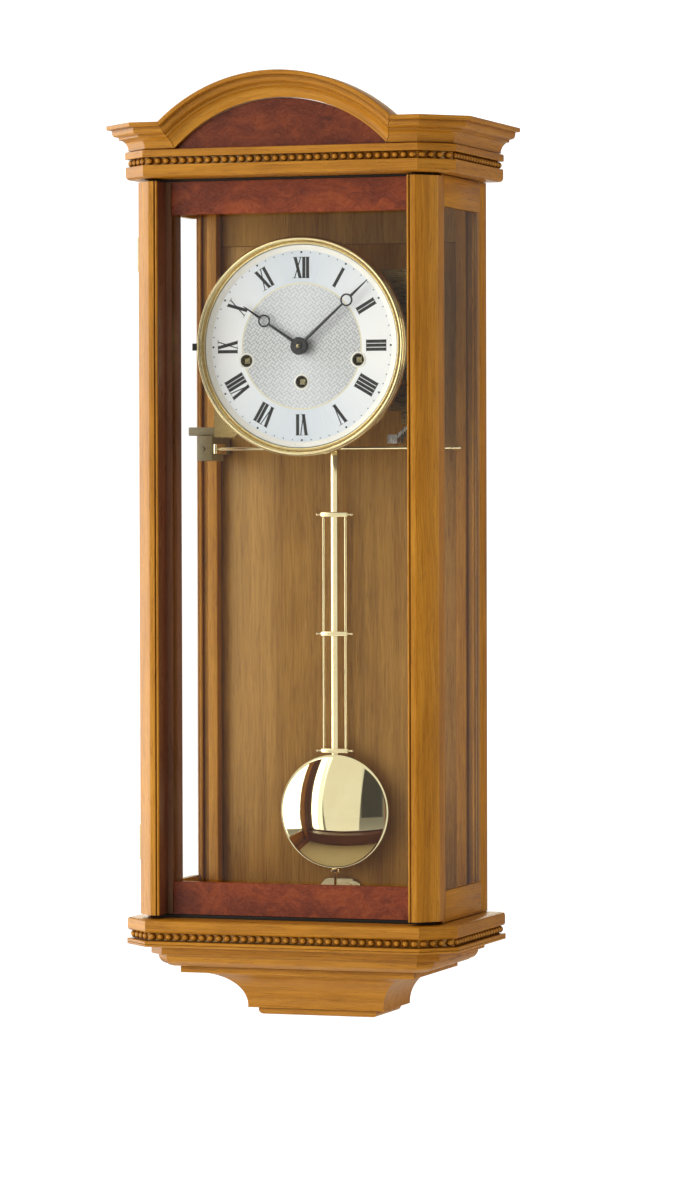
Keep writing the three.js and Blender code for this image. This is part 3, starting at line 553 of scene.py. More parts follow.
def canted_board(node, profile):
    """Board with the canted plan whose edge follows (out, z) points from bottom to top."""
    bm = bmesh.new()
    rings = [[(x, y, z) for x, y in canted_path(out)] for out, z in profile]
    spans = loft(bm, rings)
    layer = bm.loops.layers.float_vector.new("grain")
    shifts = [board_shift() for _ in range(6)]
    rise = [0.0]
    for (a, b), (c, d) in zip(profile, profile[1:]):
        rise.append(rise[-1] + math.hypot(c - a, d - b))
    for k, faces in enumerate(spans[:-1]):
        for i, face in enumerate(faces):
            a, b = canted_path(0)[i], canted_path(0)[(i + 1) % 6]
            run = Vector((b[0] - a[0], b[1] - a[1], 0)).normalized()
            for corner, loop in enumerate(face.loops):
                up = rise[k + (1 if corner > 1 else 0)]
                loop[layer] = Vector((loop.vert.co.dot(run), up, 0)) + shifts[i]
    for face in spans[-1]:
        for loop in face.loops:
            loop[layer] = loop.vert.co + shifts[2]
    finish(f"{node}_shaped", bm, LOOKS["cherry"], "case", [node])


def swept(node, rings, profile, boards=True):
    """Moulding of a closed profile through rings, each straight run with its own figure."""
    bm = bmesh.new()
    spans = loft(bm, rings)
    layer = bm.loops.layers.float_vector.new("grain")
    reach = [0.0]
    for a, b in zip(rings, rings[1:]):
        reach.append(reach[-1] + (Vector(b[0]) - Vector(a[0])).length)
    shift = board_shift()
    for k, faces in enumerate(spans[:-1]):
        shift = board_shift() if boards else shift
        for i, face in enumerate(faces):
            places = [(k, i), (k, i + 1), (k + 1, i + 1), (k + 1, i)]
            for loop, (row, column) in zip(face.loops, places):
                out, up = profile[column % len(profile)]
                loop[layer] = Vector((reach[row], up, out)) + shift
    for face in spans[-1]:
        for loop in face.loops:
            loop[layer] = loop.vert.co + shift
    finish(f"{node}_shaped", bm, LOOKS["cherry"], "case", [node])


def bead_strip(name, node):
    """Fillet with a row of turned beads along the two sides, the cants and the front."""
    low, high = span(node)
    middle = (low.z + high.z) / 2
    r = (high.z - low.z) / 2
    seat = BEAD_DEEP + BEAD_GAP
    profile = [(seat, low.z), (FILLET, low.z), (FILLET, high.z), (seat, high.z)]
    bm = bmesh.new()
    rings = [[(*canted_path(out)[k], z) for out, z in profile] for k in range(6)]
    loft(bm, rings)
    corners = [Vector((x, y, middle)) for x, y in canted_path(BEAD_SEAT)]
    for a, b in zip(corners, corners[1:]):
        count = round((b - a).length / BEAD_PITCH)
        for i in range(count):
            ball(bm, a.lerp(b, (i + 0.5) / count), r)
    grain_by_axis(bm, 0)
    finish(name, bm, LOOKS["cherry"], "case", [node], sharp=50)


def crown_board():
    z = CROWN_LOW.z
    bead = span("crown_bead_strip")[0].z - BEAD_GAP
    top = CROWN_HIGH.z
    profile = [(-1.9, z), (-0.2, z + 0.15)]
    profile += arc(-0.7, z + 2.9, 2.6, -70, 0, 6)
    profile += [(1.9, z + 7.8)] + arc(1.5, bead - 0.4, 0.4, 0, 90, 3)
    profile += [(BEAD_DEEP, bead), (BEAD_DEEP, bead + BEAD_H)]
    profile += arc(1.9, bead + BEAD_H + 0.4, 0.4, -90, 0, 3)
    profile += [(FASCIA_OUT, top - 1.2), (1.9, top - 0.5), (0, top)]
    canted_board("crown_board", profile)


def base_board():
    z = BASE_LOW.z
    top = BASE_HIGH.z
    bead = span("base_bead_strip")[0].z - BEAD_GAP
    profile = [(2.2, z), (2.7, z + 0.5), (2.7, z + 1.5), (2.3, z + 1.7), (2.7, z + 1.9)]
    profile += [(2.7, z + 3.6), (2.3, z + 4.0), (BEAD_DEEP, z + 4.2), (BEAD_DEEP, bead + BEAD_H)]
    profile += [(1.0, bead + BEAD_H), (1.4, bead + BEAD_H + 0.2), (2.3, z + 11)]
    profile += arc(0.3, top - 2.4, 2.0, 0, 70, 5) + [(-1.9, top)]
    canted_board("base_board", profile)


def base_moulding():
    low, high = span("base_moulding")
    z = low.z
    profile = [(-25, z)] + arc(-24.6, z + 8, 7, -80, 0, 10) + [(-17.6, z + 8.2), (-17.4, z + 8.6)]
    profile += [(-13.3, z + 8.6), (-13, z + 8.9), (-13, high.z)]
    canted_board("base_moulding", profile)


SIDES = (("left", -1), ("right", 1))
CORNICE_BACK = -8.0
ARCH_FOOT = 77.5
CORNICE_OUT = 14.4


def cornice_profile():
    """Closed section as (out, height): cove, fillet, small round and top band."""
    cove = arc(8.2, 0.4, 8, 180, 118, 12)
    bead = arc(6.9, 13.2, 4, -50, 0, 8)
    band = arc(CORNICE_OUT - 0.5, 15.2, 0.5, -90, 0, 3)
    crest = arc(CORNICE_OUT - 0.5, CORNICE_H - 0.5, 0.5, 0, 90, 3)
    lip = [(6.0, 7.6), (6.4, 8), (6.4, 9.2), (7.0, 9.5)]
    rest = [(10.9, 14.4), (12.0, 14.6)]
    face = cove + lip + bead + rest + band + crest
    return [(CORNICE_BACK, 0), (0, 0)] + face + [(CORNICE_BACK, CORNICE_H)]


def arch_circle():
    """Radius and centre height of the arch at the lower edge of the section."""
    rise = ARCH_HIGH.z - CORNICE_HIGH.z
    radius = (ARCH_FOOT**2 + rise**2) / (2 * rise)
    return radius, ARCH_HIGH.z - CORNICE_H - radius


def foot_x(height):
    """Half width of the arch where a line of the section meets the straight cornice."""
    radius, centre = arch_circle()
    return math.sqrt((radius + height) ** 2 - (CORNICE_LOW.z + height - centre) ** 2)


def cornice():
    profile = cornice_profile()
    z = CORNICE_LOW.z
    gap = 0.15
    for side, sign in SIDES:
        corners = (0, 1, 2) if side == "left" else (5, 4, 3)
        rings = [[(*canted_path(out)[k], z + up) for out, up in profile] for k in corners]
        rings.append([(sign * (foot_x(up) + gap), -(PLAN_D + out), z + up) for out, up in profile])
        swept(f"cornice_{side}", rings, profile)
    radius, centre = arch_circle()
    steps = 64
    rings = []
    for i in range(steps + 1):
        ring = []
        for out, up in profile:
            r = radius + up
            turn = (2 * i / steps - 1) * math.asin((foot_x(up) - gap) / r)
            ring.append((r * math.sin(turn), -(PLAN_D + out), centre + r * math.cos(turn)))
        rings.append(ring)
    swept("cornice_arch", rings, profile, boards=False)


# ------------------------------------------------------------------ bracket
PENDANT_FOOT = (50.5, 60.5)  # half width and depth of the pendant's foot


def square_solid(name, levels, node):
    """Solid against the wall whose (half width, depth, z) changes with height."""
    bm = bmesh.new()
    loft(bm, [[(-w, 0, z), (-w, -d, z), (w, -d, z), (w, 0, z)] for w, d, z in levels])
    grain_by_axis(bm, 0)
    finish(name, bm, LOOKS["cherry"], "case", [node])


def eased_levels(w, d, z0, z1, ease=0.5):
    """Levels of a plain slab with its lower and upper edges rounded over."""
    low = [(w - ease + x, d - ease + x, z0 + ease + z) for x, z in arc(0, 0, ease, -90, 0, 3)]
    high = [(w - ease + x, d - ease + x, z1 - ease + z) for x, z in arc(0, 0, ease, 0, 90, 3)]
    return low + high


def bracket():
    low, high = span("bracket_plate")
    levels = eased_levels(high.x, -low.y, low.z, high.z)
    square_solid("bracket_plate_eased", levels, "bracket_plate")
    low, high = span("bracket_pendant")
    (foot_w, foot_d), fillet = PENDANT_FOOT, 1.2
    spread_w = high.x - foot_w
    spread_d = -low.y - foot_d
    levels = [(foot_w, foot_d, low.z)]
    steps = 28
    for i in range(steps + 1):
        turn = i / steps * math.pi / 2
        spread = 1 - math.cos(turn)
        z = low.z + fillet + (high.z - low.z - fillet) * math.sin(turn)
        levels.append((foot_w + spread_w * spread, foot_d + spread_d * spread, z))
    square_solid("bracket_pendant_coved", levels, "bracket_pendant")
    low, high = span("bracket_cap")
    w, d, r = high.x, -low.y, 3.4
    levels = [(w - r + x, d - r + x, low.z + r + z) for x, z in arc(0, 0, r, -90, 0, 10)]
    levels += [(w, d, high.z - 0.3), (w - 0.3, d - 0.3, high.z)]
    square_solid("bracket_cap_rounded", levels, "bracket_cap")


# ------------------------------------------------------------------ carcass and door
PAINTED_LIGHT_LOW = (-86, -106)  # plan corners of the pale sheet on the case floor, painted light for the bob to reflect
PAINTED_LIGHT_HIGH = (86, -16)


def board(node, axis):
    """CAD board with eased edges and its grain along an axis."""
    bm = bmesh.new()
    box(bm, *span(node), 0.6)
    grain_by_axis(bm, axis)
    finish(f"{node}_eased", bm, LOOKS["cherry"], "case", [node])


def upright(node, half, sign):
    """Half plan (x, y) of the right-hand piece, or its mirror image, along a node's height."""
    low, high = span(node)
    bm = bmesh.new()
    loft(bm, [[(sign * x, y, z) for x, y in half] for z in (low.z, high.z)])
    grain_by_axis(bm, 2)
    return bm


def back_stile_outline():
    """Half plan of a back stile: flat, groove, bead and chamfered outer corner."""
    low, high = span("back_stile_right")
    front, outer, inner = low.y, high.x, low.x
    outline = [(inner, 0), (outer, 0)] + arc(outer - 0.5, -5.6, 0.5, 0, -30, 2)
    outline += [(105.0, front + 0.4)] + arc(103.0, front + 1.5, 1.5, -40, -140, 6)
    outline += [(101.5, front + 3.0), (97.8, front + 3.0), (97.5, front + 2.6)]
    outline += arc(96.4, front + 1.1, 1.1, 0, -90, 4)
    outline += [(inner + 0.5, front), (inner, front + 0.5)]
    return outline


def carcass():
    half = back_stile_outline()
    for side, sign in SIDES:
        node = f"back_stile_{side}"
        bm = upright(node, half, sign)
        finish(f"{node}_moulded", bm, LOOKS["cherry"], "case", [node], 28)
        board(f"front_post_{side}", 2)
        for place in ("top", "bottom"):
            board(f"side_rail_{place}_{side}", 1)
    bm = bmesh.new()
    low, high = span("back_panel")
    tuck = Vector((1, 0, 1))  # its edges run on into the grooves of the stiles and the rail
    box(bm, low - tuck, high + tuck, 0.3)
    grain_by_axis(bm, 2)
    finish("back_panel_veneered", bm, LOOKS["board"], "case", ["back_panel"])
    # Pale sheet on the case floor: painted light, paler than the lit wood, so the bob reflects it
    # bright.
    bm = bmesh.new()
    box(bm, (*PAINTED_LIGHT_LOW, BASE_HIGH.z + 0.05), (*PAINTED_LIGHT_HIGH, BASE_HIGH.z + 0.8), 0.2)
    finish("case_floor_painted_light", bm, LOOKS["floor_painted_light"], "case")


GAP_SHADE_LOW = (-104, -113.5)  # plan corners of the black strips above and below the door, painted shade in the gaps
GAP_SHADE_HIGH = (104, -108.5)
INNER_SHADE_W = 4.4  # width of a stile's inner moulding that is darkened as painted shade
INNER_SHADE_Y = 0.95  # and how far behind the stile's front it begins
SIGHT_IN = 1.2  # a door rail's sight edge stands back from its node's edge
SIGHT_STEP = 3.2  # and steps back this far behind the glass


def door_stile_outline():
    """Half plan of a door stile: lip, cant, rounded arrises, groove and inner bead."""
    low, high = span("door_stile_right")
    lip_y, side_x, front, inner = high.y, high.x, low.y, low.x
    lip_x, back_y, cant_y, cant_x = 97.0, -107.3, -116.8, 97.7
    bead_x, bead_r, rail_y = 91.2, 0.9, -113.0
    outline = [(inner, lip_y), (lip_x, lip_y), (lip_x, back_y)]
    outline += [(side_x - 0.3, back_y), (side_x, back_y - 0.3)]
    outline += arc(side_x - 1.2, cant_y + 0.2, 1.2, 0, -46, 4)
    outline += arc(cant_x - 0.6, front + 1.2, 1.2, -46, -90, 4)
    groove = bead_x + 2 * bead_r
    outline += [(groove + 0.9, front), (groove + 0.7, front + 0.3), (groove + 0.5, front + 1.3)]
    outline += [(groove, front + 1.3)]
    outline += arc(bead_x + bead_r, front + bead_r + 0.1, bead_r, 0, -180, 8)
    outline += [(bead_x, rail_y - 0.2), (bead_x - 0.2, rail_y), (inner + 0.4, rail_y + 0.6)]
    outline += [(inner, rail_y + 1)]
    return outline


def rail_section(front, back, edge, far):
    """Section (y, z) of a door rail from the edge at the glass, stepped back behind it, to
    the far edge."""
    inward = 1 if far > edge else -1
    sight = edge + SIGHT_IN * inward
    step = edge + SIGHT_STEP * inward
    section = [(front, far), (front, sight + 0.5 * inward), (front + 0.5, sight)]
    return section + [(front + 2, sight), (front + 2, step), (back, step), (back, far)]


def door():
    half = door_stile_outline()
    low = span("door_stile_right")[0]
    for side, sign in SIDES:
        node = f"door_stile_{side}"
        bm = upright(node, half, sign)
        # Faces of the stile's inner return take the second material: painted shade.
        for face in bm.faces:
            spots = [vert.co for vert in face.verts]
            if all(abs(at.x) < low.x + INNER_SHADE_W and at.y > low.y + INNER_SHADE_Y for at in spots):
                face.material_index = 1
        finish(f"{node}_moulded", bm, LOOKS["cherry"], "door", [node], 28, LOOKS["painted_shade"])
    for place in ("top", "bottom"):
        node = f"door_rail_{place}"
        bm = bmesh.new()
        low, high = span(node)
        edge, far = (low.z, high.z) if place == "top" else (high.z, low.z)
        section = rail_section(low.y, high.y, edge, far)
        loft(bm, [[(x, y, z) for y, z in section] for x in (low.x, high.x)])
        # Faces stepped back behind the glass take the second material: painted shade.
        for face in bm.faces:
            if all(vert.co.y > low.y + 1.9 for vert in face.verts):
                face.material_index = 1
        grain_by_axis(bm, 0)
        name = f"{node}_veneered"
        finish(name, bm, LOOKS["burl"], "door", [node], second=LOOKS["painted_shade"])
    top = span("door_rail_top")[1].z
    bottom = span("door_rail_bottom")[0].z
    # Black strips in the gaps above and below the door: painted shade.
    bm = bmesh.new()
    for low, high in ((top + 0.4, CROWN_LOW.z - 0.1), (BASE_HIGH.z + 0.1, bottom - 0.4)):
        box(bm, (*GAP_SHADE_LOW, low), (*GAP_SHADE_HIGH, high), 0.2)
    finish("door_gap_shade_strips", bm, LOOKS["gap_shade"], "case")


# ------------------------------------------------------------------ dial
DIAL_LOW, DIAL_HIGH = span("dial_plate")
DIAL_X = (DIAL_LOW.x + DIAL_HIGH.x) / 2
DIAL_Z = (DIAL_LOW.z + DIAL_HIGH.z) / 2
DIAL_Y = DIAL_LOW.y
DIAL_R = (DIAL_HIGH.x - DIAL_LOW.x) / 2
CENTRE_R = 43.9  # engine-turned centre of the dial
NUMERAL_LOW = 47.5  # inner and outer ends of the numerals
NUMERAL_HIGH = 62.3
DOT_R = 65.6  # circle of the minute dots
SIGHT_R = 66.9  # inner and outer edges of the sloping ring under the bezel
SIGHT_OUT_R = 70.6
DIAL_T = 1.2
FOOT_R = 66  # circle of the dial's feet
HOLE_R = 4.5  # winding holes, with their rims and bushes
RIM_R = 5.7
BUSH_R = 4.45
WINDING = [(-40.8, -9.8), (0, -24.9), (41.8, -9.8)]


def engine_wave(t, along, across):
    """Straight cuts of the engine turning that sway from side to side."""
    sway = t.math("MULTIPLY", t.math("SINE", t.math("MULTIPLY", across, 1.05)), 1.1)
    return t.math("SINE", t.math("ADD", t.math("MULTIPLY", along, 2.1), sway))


def dial_silver():
    """Silvered dial: radially brushed chapter ring round an engine-turned centre, with painted
    sheen in light and dark sectors.
    """
    t = Tree(bpy.data.materials.new("dial_silver"))
    middle = (DIAL_X * MM, DIAL_Y * MM, DIAL_Z * MM)
    near = t.vector("SUBTRACT", t.add("TexCoord", out=3), middle)
    x, _, z = t.split(t.add("VectorMath", {0: near, "Scale": 1 / MM}, operation="SCALE"))
    r = t.math("SQRT", t.blend((x, x), (z, z)))
    turn = t.math("ARCTAN2", z, x)
    ring = t.add("CombineXYZ", {0: t.math("MULTIPLY", turn, 90.0), 1: t.math("MULTIPLY", r, 0.05)})
    brush = t.noise(ring, detail=3, rough=0.7)
    # Painted sheen: light and dark sectors by angle, twice round the dial.
    double = t.math("COSINE", t.math("MULTIPLY", turn, 2.0))
    painted_sheen_sector = t.math("ADD", t.math("MULTIPLY", double, 0.5), 0.5)
    stops = [(0.0, (0.66, 0.72, 0.8)), (0.4, (0.8, 0.84, 0.9)), (1.0, (0.95, 0.96, 0.97))]
    chapter = t.ramp(painted_sheen_sector, *stops)
    chapter = t.mix(t.level(brush, 0.0, 0.3, 0.35, 0.7), chapter, (0.95, 0.95, 0.95))
    weave = t.math("MULTIPLY", engine_wave(t, x, z), engine_wave(t, z, x))
    light = t.level(weave, 0.0, 1.0, -0.35, 0.35)
    # The centre's painted sheen runs the other way: darker where the chapter ring is light.
    centre = t.ramp(painted_sheen_sector, (0.0, (0.52, 0.54, 0.57)), (1.0, (0.38, 0.39, 0.4)))
    centre = t.mix(t.math("MULTIPLY", light, 0.54), centre, (0.86, 0.87, 0.89))
    inside = t.level(r, 1.0, 0.0, CENTRE_R - 0.1, CENTRE_R + 0.1)
    colour = t.mix(inside, chapter, centre)
    line = t.math("LESS_THAN", t.math("ABSOLUTE", t.math("SUBTRACT", r, CENTRE_R)), 0.5)
    colour = t.mix(line, colour, (0.72, 0.68, 0.5))
    t.set(base_color=colour, metallic=t.level(inside, 0.1, 0.35))
    t.set(roughness=t.level(brush, 0.34, 0.48, 0.3, 0.7))
    relief = t.math("ADD", t.math("MULTIPLY", weave, inside), t.math("MULTIPLY", brush, 0.6))
    t.bump(relief, 0.18, 0.05)
    return t.owner


def disc_with_holes(bm, radius, holes, y0, y1):
    """Flat disc about the dial's centre with round holes through it."""
    edges = []
    for cx, cz, r, count in [(0, 0, radius, 160)] + [(*hole, 48) for hole in holes]:
        points = circle(DIAL_X + cx, DIAL_Z + cz, r, count)
        ring = [bm.verts.new((x, y0, z)) for x, z in points]
        edges += [bm.edges.new((a, b)) for a, b in zip(ring, ring[1:] + ring[:1])]
    bmesh.ops.triangle_fill(bm, edges=edges, use_beauty=True)
    made = bmesh.ops.extrude_face_region(bm, geom=bm.faces[:])
    moved = [item for item in made["geom"] if isinstance(item, bmesh.types.BMVert)]
    bmesh.ops.translate(bm, verts=moved, vec=(0, y1 - y0, 0))


def dial_plate():
    bm = bmesh.new()
    holes = [(x, z, HOLE_R) for x, z in WINDING] + [(0, 0, 4.7)]
    disc_with_holes(bm, DIAL_R, holes, DIAL_Y, DIAL_Y + DIAL_T)
    for x, z in arc(DIAL_X, DIAL_Z, FOOT_R, 45, 315, 3):
        rod(bm, (x, DIAL_Y + DIAL_T, z), (x, DIAL_HIGH.y, z), 2.5)
    finish("dial_face", bm, dial_silver(), "case", ["dial_plate"])
    bm = bmesh.new()
    for x, z in WINDING:
        inner = [(HOLE_R - 0.1, 0), (HOLE_R - 0.1, 0.35), (HOLE_R + 0.2, 0.5)]
        profile = inner + [(RIM_R - 0.3, 0.35), (RIM_R, 0)]
        revolve(bm, profile, facing(DIAL_X + x, DIAL_Y, DIAL_Z + z), 64)
    finish("winding_hole_rims", bm, LOOKS["rim"], "case")
    # Dark olive bushes in the winding holes: painted shade on brass tubes that lie in shadow.
    bm = bmesh.new()
    bush = [(3.5, -0.9), (3.7, -0.6), (BUSH_R, -0.6), (BUSH_R, -0.9)]
    for x, z in WINDING:
        revolve(bm, bush, facing(DIAL_X + x, DIAL_Y, DIAL_Z + z), 64)
    finish("winding_hole_bushes", bm, LOOKS["shaded_bush"], "case")
    bm = bmesh.new()
    profile = [(SIGHT_R, 0.02), (SIGHT_R, 0.3), (SIGHT_OUT_R, 1.8), (SIGHT_OUT_R, 0.02)]
    revolve(bm, profile, facing(DIAL_X, DIAL_Y, DIAL_Z), 160)
    finish("dial_sight_ring", bm, LOOKS["rim"], "case")


STROKE = 2.3
HAIR = 0.72
PITCH = 2.75  # spacing of upright strokes
V_W = 6.2
X_W = 6.4
SERIF = 0.17  # half height of a serif


def bar(bottom, top, width):
    """Upright stroke between (x, z) of its two ends, cut level."""
    (x0, z0), (x1, z1) = bottom, top
    half = width / 2
    return [(x0 - half, z0), (x0 + half, z0), (x1 + half, z1), (x1 - half, z1)]


def letter_strokes(letter, x, tall):
    """Main and hair strokes of one letter that starts at x, and the centres of its serifs."""
    if letter == "I":
        middle = x + PITCH / 2
        return [bar((middle, 0), (middle, tall), STROKE)], [middle], [middle]
    if letter == "V":
        foot, left, right = x + V_W / 2 + 0.2, x + 1.2, x + V_W - 0.9
        strokes = [bar((foot, 0), (left, tall), STROKE), bar((foot, 0), (right, tall), HAIR)]
        return strokes, [foot], [left, right]
    low, high = [x + 0.9, x + X_W - 1.3], [x + 1.3, x + X_W - 0.9]
    strokes = [bar((low[1], 0), (high[0], tall), STROKE), bar((low[0], 0), (high[1], tall), HAIR)]
    return strokes, low, high


def numeral(text):
    """Strokes of a Roman numeral as outlines, centred on x = 0, from z = 0 to its height."""
    tall = NUMERAL_HIGH - NUMERAL_LOW
    widths = {"I": PITCH, "V": V_W, "X": X_W}
    x = -sum(widths[letter] for letter in text) / 2
    reach = STROKE / 2 + 0.36
    strokes = []
    for letter in text:
        main, low, high = letter_strokes(letter, x, tall)
        strokes += main
        for centres, z in ((low, 0), (high, tall - 2 * SERIF)):
            strokes += [bar((c, z), (c, z + 2 * SERIF), 2 * reach) for c in centres]
        x += widths[letter]
    return strokes


def numerals():
    bm = bmesh.new()
    front = DIAL_Y - 0.09
    for hour, text in enumerate("XII I II III IIII V VI VII VIII IX X XI".split()):
        turn = math.radians(30 * hour)
        for stroke in numeral(text):
            outline = []
            for x, z in stroke:
                r = NUMERAL_LOW + z
                outline.append((DIAL_X + x * math.cos(turn) + r * math.sin(turn),
                                DIAL_Z - x * math.sin(turn) + r * math.cos(turn)))
            prism(bm, outline, front, DIAL_Y + 0.1)
    for minute in range(60):
        turn = math.radians(6 * minute)
        r = 0.75 if minute % 5 == 0 else 0.42
        x, z = DIAL_X + DOT_R * math.sin(turn), DIAL_Z + DOT_R * math.cos(turn)
        prism(bm, circle(x, z, r, 16), front, DIAL_Y + 0.1)
    finish("dial_numerals", bm, LOOKS["ink"], "case")


def bezel():
    low, high = span("bezel")
    out = (high.x - low.x) / 2
    tall = DIAL_Y - low.y
    back = DIAL_Y - high.y
    profile = [(71.1, 0.3), (71.1, 1.9)] + arc(71.7, 2.1, 0.6, 180, 20, 6)
    profile += [(72.3, 1.9), (72.4, 0.5), (72.8, 0.5)] + arc(73.3, 1.6, 0.5, 180, 110, 4)
    profile += [(73.4, 2.4)] + arc(75, tall - 1.3, 1.3, 150, 20, 8)
    profile += [(76.3, tall - 2.4)] + arc(out - 0.5, tall - 3.2, 0.5, 60, 0, 3)
    profile += [(out, back + 0.4), (out - 0.4, back), (75.9, back), (75.9, 0.3)]
    bm = bmesh.new()
    revolve(bm, profile, facing(DIAL_X, DIAL_Y, DIAL_Z), 192)
    finish("bezel_turned", bm, LOOKS["gilt"], "case", ["bezel"])


HAND_T = 0.8  # thickness of a hand along its ridge
HANDS = [  # node, back face, length, centre of the circle, hub radius, degrees from twelve
    ("minute_hand", -92.0, 67.8, 47.2, 6.2, 48),
    ("hour_hand", -89.6, 50.4, 32, 6, 304),
]


def ridged_bar(bm, back, start, end):
    """Bar of a hand between (height, half width) of its two ends, ridged down the middle."""
    shoulder = back - HAND_T * 0.55
    rings = []
    for z, w in (start, end):
        left = [(-w, back, z), (-w, shoulder, z)]
        rings.append(left + [(0, back - HAND_T, z), (w, shoulder, z), (w, back, z)])
    loft(bm, rings)


def hand_hub(node, back, hub):
    """Closed profile of the hub in heights over the hand's back."""
    low, high = span(node)
    tail = back - high.y
    disc = [(hub, 0), (hub, HAND_T * 0.7), (hub - 0.5, HAND_T + 0.1)]
    if node == "hour_hand":
        bore = 3.1
        return [(bore, tail), (4.1, tail), (4.1, 0)] + disc + [(bore, HAND_T + 0.1)]
    front = back - low.y
    nose = [(2.6, HAND_T + 0.15), (2.6, front - 0.3), (2.2, front), (0, front)]
    return [(0, tail), (2.6, tail), (2.6, 0)] + disc + [(3.2, HAND_T + 0.15)] + nose


def hand_piece(node, back, length, ring_at, hub, turn):
    """Slim hand with ridged bars that run into an open circle."""
    ring_out, ring_in, lap = 4.5, 3.35, 0.4
    bm = bmesh.new()
    ridged_bar(bm, back, (0, 1.35), (ring_at - ring_in - lap, 0.75))
    ridged_bar(bm, back, (ring_at + ring_in + lap, 1.0), (length, 0.3))
    crest = HAND_T * 0.95
    inner = [(ring_in, 0), (ring_in, HAND_T * 0.6), (ring_in + 0.25, crest)]
    outer = [(ring_out - 0.25, crest), (ring_out, HAND_T * 0.6), (ring_out, 0)]
    revolve(bm, inner + outer, facing(0, back, ring_at), 48)
    revolve(bm, hand_hub(node, back, hub), facing(0, back, 0), 64)
    swing = Matrix.Rotation(math.radians(turn), 3, "Y")
    bmesh.ops.rotate(bm, verts=bm.verts[:], cent=(0, 0, 0), matrix=swing)
    bmesh.ops.translate(bm, verts=bm.verts[:], vec=(DIAL_X, 0, DIAL_Z))
    finish(f"{node}_ridged", bm, LOOKS["black"], node, [node])


def hands():
    for hand in HANDS:
        hand_piece(*hand)
    low = span("minute_hand")[0]
    bm = bmesh.new()
    pin = [(0, 0), (1.5, 0), (1.4, 0.25), (0.8, 0.45), (0, 0.5)]
    revolve(bm, pin, facing(DIAL_X, low.y - 0.02, DIAL_Z), 32)
    finish("hand_pin", bm, LOOKS["arbor"], "minute_hand")


# ------------------------------------------------------------------ pendulum
ROD_Y = -16.5
SIDE_ROD_X = 8.2
CROSSBARS = [-216, -301, -384.6]


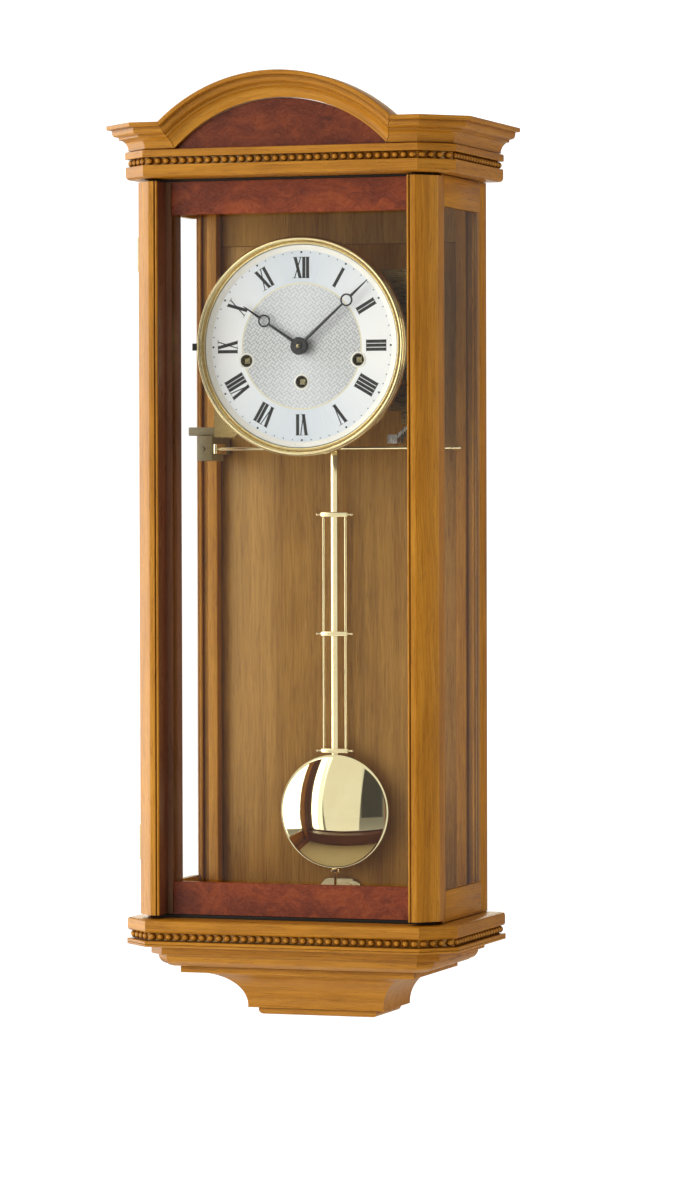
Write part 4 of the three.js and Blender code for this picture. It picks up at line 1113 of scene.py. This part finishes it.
def pendulum():
    low, high = span("pendulum_rod")
    bob_low, bob_high = span("pendulum_bob")
    bm = bmesh.new()
    box(bm, (-2.5, ROD_Y - 0.75, bob_low.z + 4), (2.5, ROD_Y + 0.75, high.z), 0.3)
    rod(bm, (0, ROD_Y, low.z), (0, ROD_Y, bob_low.z + 5), 1)
    for x in (-SIDE_ROD_X, SIDE_ROD_X):
        rod(bm, (x, ROD_Y, CROSSBARS[2]), (x, ROD_Y, CROSSBARS[0]), 1)
    for z in CROSSBARS:
        box(bm, (-10.3, ROD_Y - 1.5, z - 1.8), (10.3, ROD_Y + 1.5, z + 1.8), 0.7, 3)
        for sign in (-1, 1):
            rod(bm, (sign * 10, ROD_Y, z), (sign * 12.4, ROD_Y, z), 0.7)
            ball(bm, Vector((sign * 12.8, ROD_Y, z)), 1.3)
    finish("pendulum_rod_fine", bm, LOOKS["brass"], "pendulum", ["pendulum_rod"])
    bm = bmesh.new()
    r = (bob_high.x - bob_low.x) / 2
    rise = bob_high.y - bob_low.y
    sphere = (r * r + rise * rise) / (2 * rise)
    steps = 40
    reach = math.asin(r / sphere)
    tilts = [reach * i / steps for i in range(steps)]
    dome = [(sphere * math.sin(a), sphere * (math.cos(a) - 1) + rise) for a in tilts]
    profile = dome + [(r - 0.05, 0.5), (r - 0.15, 0.25), (r - 0.5, 0), (0, 0)]
    z = (bob_low.z + bob_high.z) / 2
    revolve(bm, profile, facing(0, bob_high.y, z), 160)
    name = "pendulum_bob_polished"
    finish(name, bm, LOOKS["mirror"], "pendulum", ["pendulum_bob"], sharp=60)
    nut_low, nut_high = span("rating_nut")
    bm = bmesh.new()
    tall = nut_high.z - nut_low.z
    out = (nut_high.x - nut_low.x) / 2
    foot = [(1.3, 0), (out - 0.5, 0), (out, 0.4)]
    profile = foot + [(x, tall - z) for x, z in reversed(foot)]
    revolve(bm, profile, Matrix.Translation((0, ROD_Y, nut_low.z)), 40)
    finish("rating_nut_turned", bm, LOOKS["brass"], "rating_nut", ["rating_nut"])
    low, high = span("beat_plate")
    bm = bmesh.new()
    outline = [(low.x, low.z), (high.x, low.z), (high.x, high.z - 3.4), (10.6, high.z - 1.4)]
    outline += [(9.6, high.z), (-8.6, high.z), (-10.5, high.z - 0.6), (low.x, high.z - 5.2)]
    prism(bm, outline, low.y, high.y)
    rod(bm, (7, low.y, high.z - 5), (7, low.y - 1.6, high.z - 5), 2.2)
    finish("beat_plate_shaped", bm, LOOKS["satin"], "case", ["beat_plate"])


# ------------------------------------------------------------------ chime and movement
CHIME_Z = -169
CHIME_RODS = (-23, -29.5, -36)


def chime():
    low, high = span("chime_block")
    z = CHIME_Z
    bm = bmesh.new()
    box(bm, (-95, -42, z - 8.5), (-83, -19, z + 9.2), 0.7)
    box(bm, (low.x, -38.5, z + 9.5), (high.x, -29.5, high.z), 0.6)
    box(bm, (-89, -19.4, z - 4), (-83, high.y, z + 8), 0.5)
    rod(bm, (-90.5, -42, z), (-90.5, -43.2, z), 1.7)
    finish("chime_block_cast", bm, LOOKS["bronze"], "case", ["chime_block"])
    low, high = span("chime_rods")
    bm = bmesh.new()
    box(bm, (low.x, low.y, low.z), (-80, high.y, high.z), 0.4)
    for k, y in enumerate(CHIME_RODS):
        rod(bm, (-80.5, y, z), (97 - 5 * k, y, z), 1.2)
    finish("chime_rods_round", bm, LOOKS["brass"], "case", ["chime_rods"])


def dress_cad():
    """Materials for the CAD nodes whose own shape is shown."""
    choice = {
        "tympanum": "burl_arch_painted_shade",
        "back_rail": "board_z",
        "side_glass_left": "glass",
        "side_glass_right": "glass",
        "door_glass": "glass",
    }
    by_slot = {
        "steel": "steel",
        "brass": "shaded_brass",
        "black_steel": "black",
        "bronze_casting": "bronze",
        "cherry": "cherry_x",
    }
    slots = {part["node"]: part["material_slot"] for part in frame["record"]["subparts"]}
    for name, node in frame["nodes"].items():
        kind = choice.get(name) or by_slot.get(slots[name], "brass")
        if name.startswith("hinge_"):
            kind = "brass"
        if name.endswith("_arbor"):
            kind = "arbor"
        node.data.materials.clear()
        node.data.materials.append(LOOKS[kind])


def build():
    dress_cad()
    crown_board()
    base_board()
    base_moulding()
    bead_strip("crown_beads", "crown_bead_strip")
    bead_strip("base_beads", "base_bead_strip")
    cornice()
    bracket()
    carcass()
    door()
    dial_plate()
    numerals()
    bezel()
    hands()
    pendulum()
    chime()


make_camera()
make_studio()
make_floor()
bpy.context.scene.view_settings.view_transform = "Standard"
build()
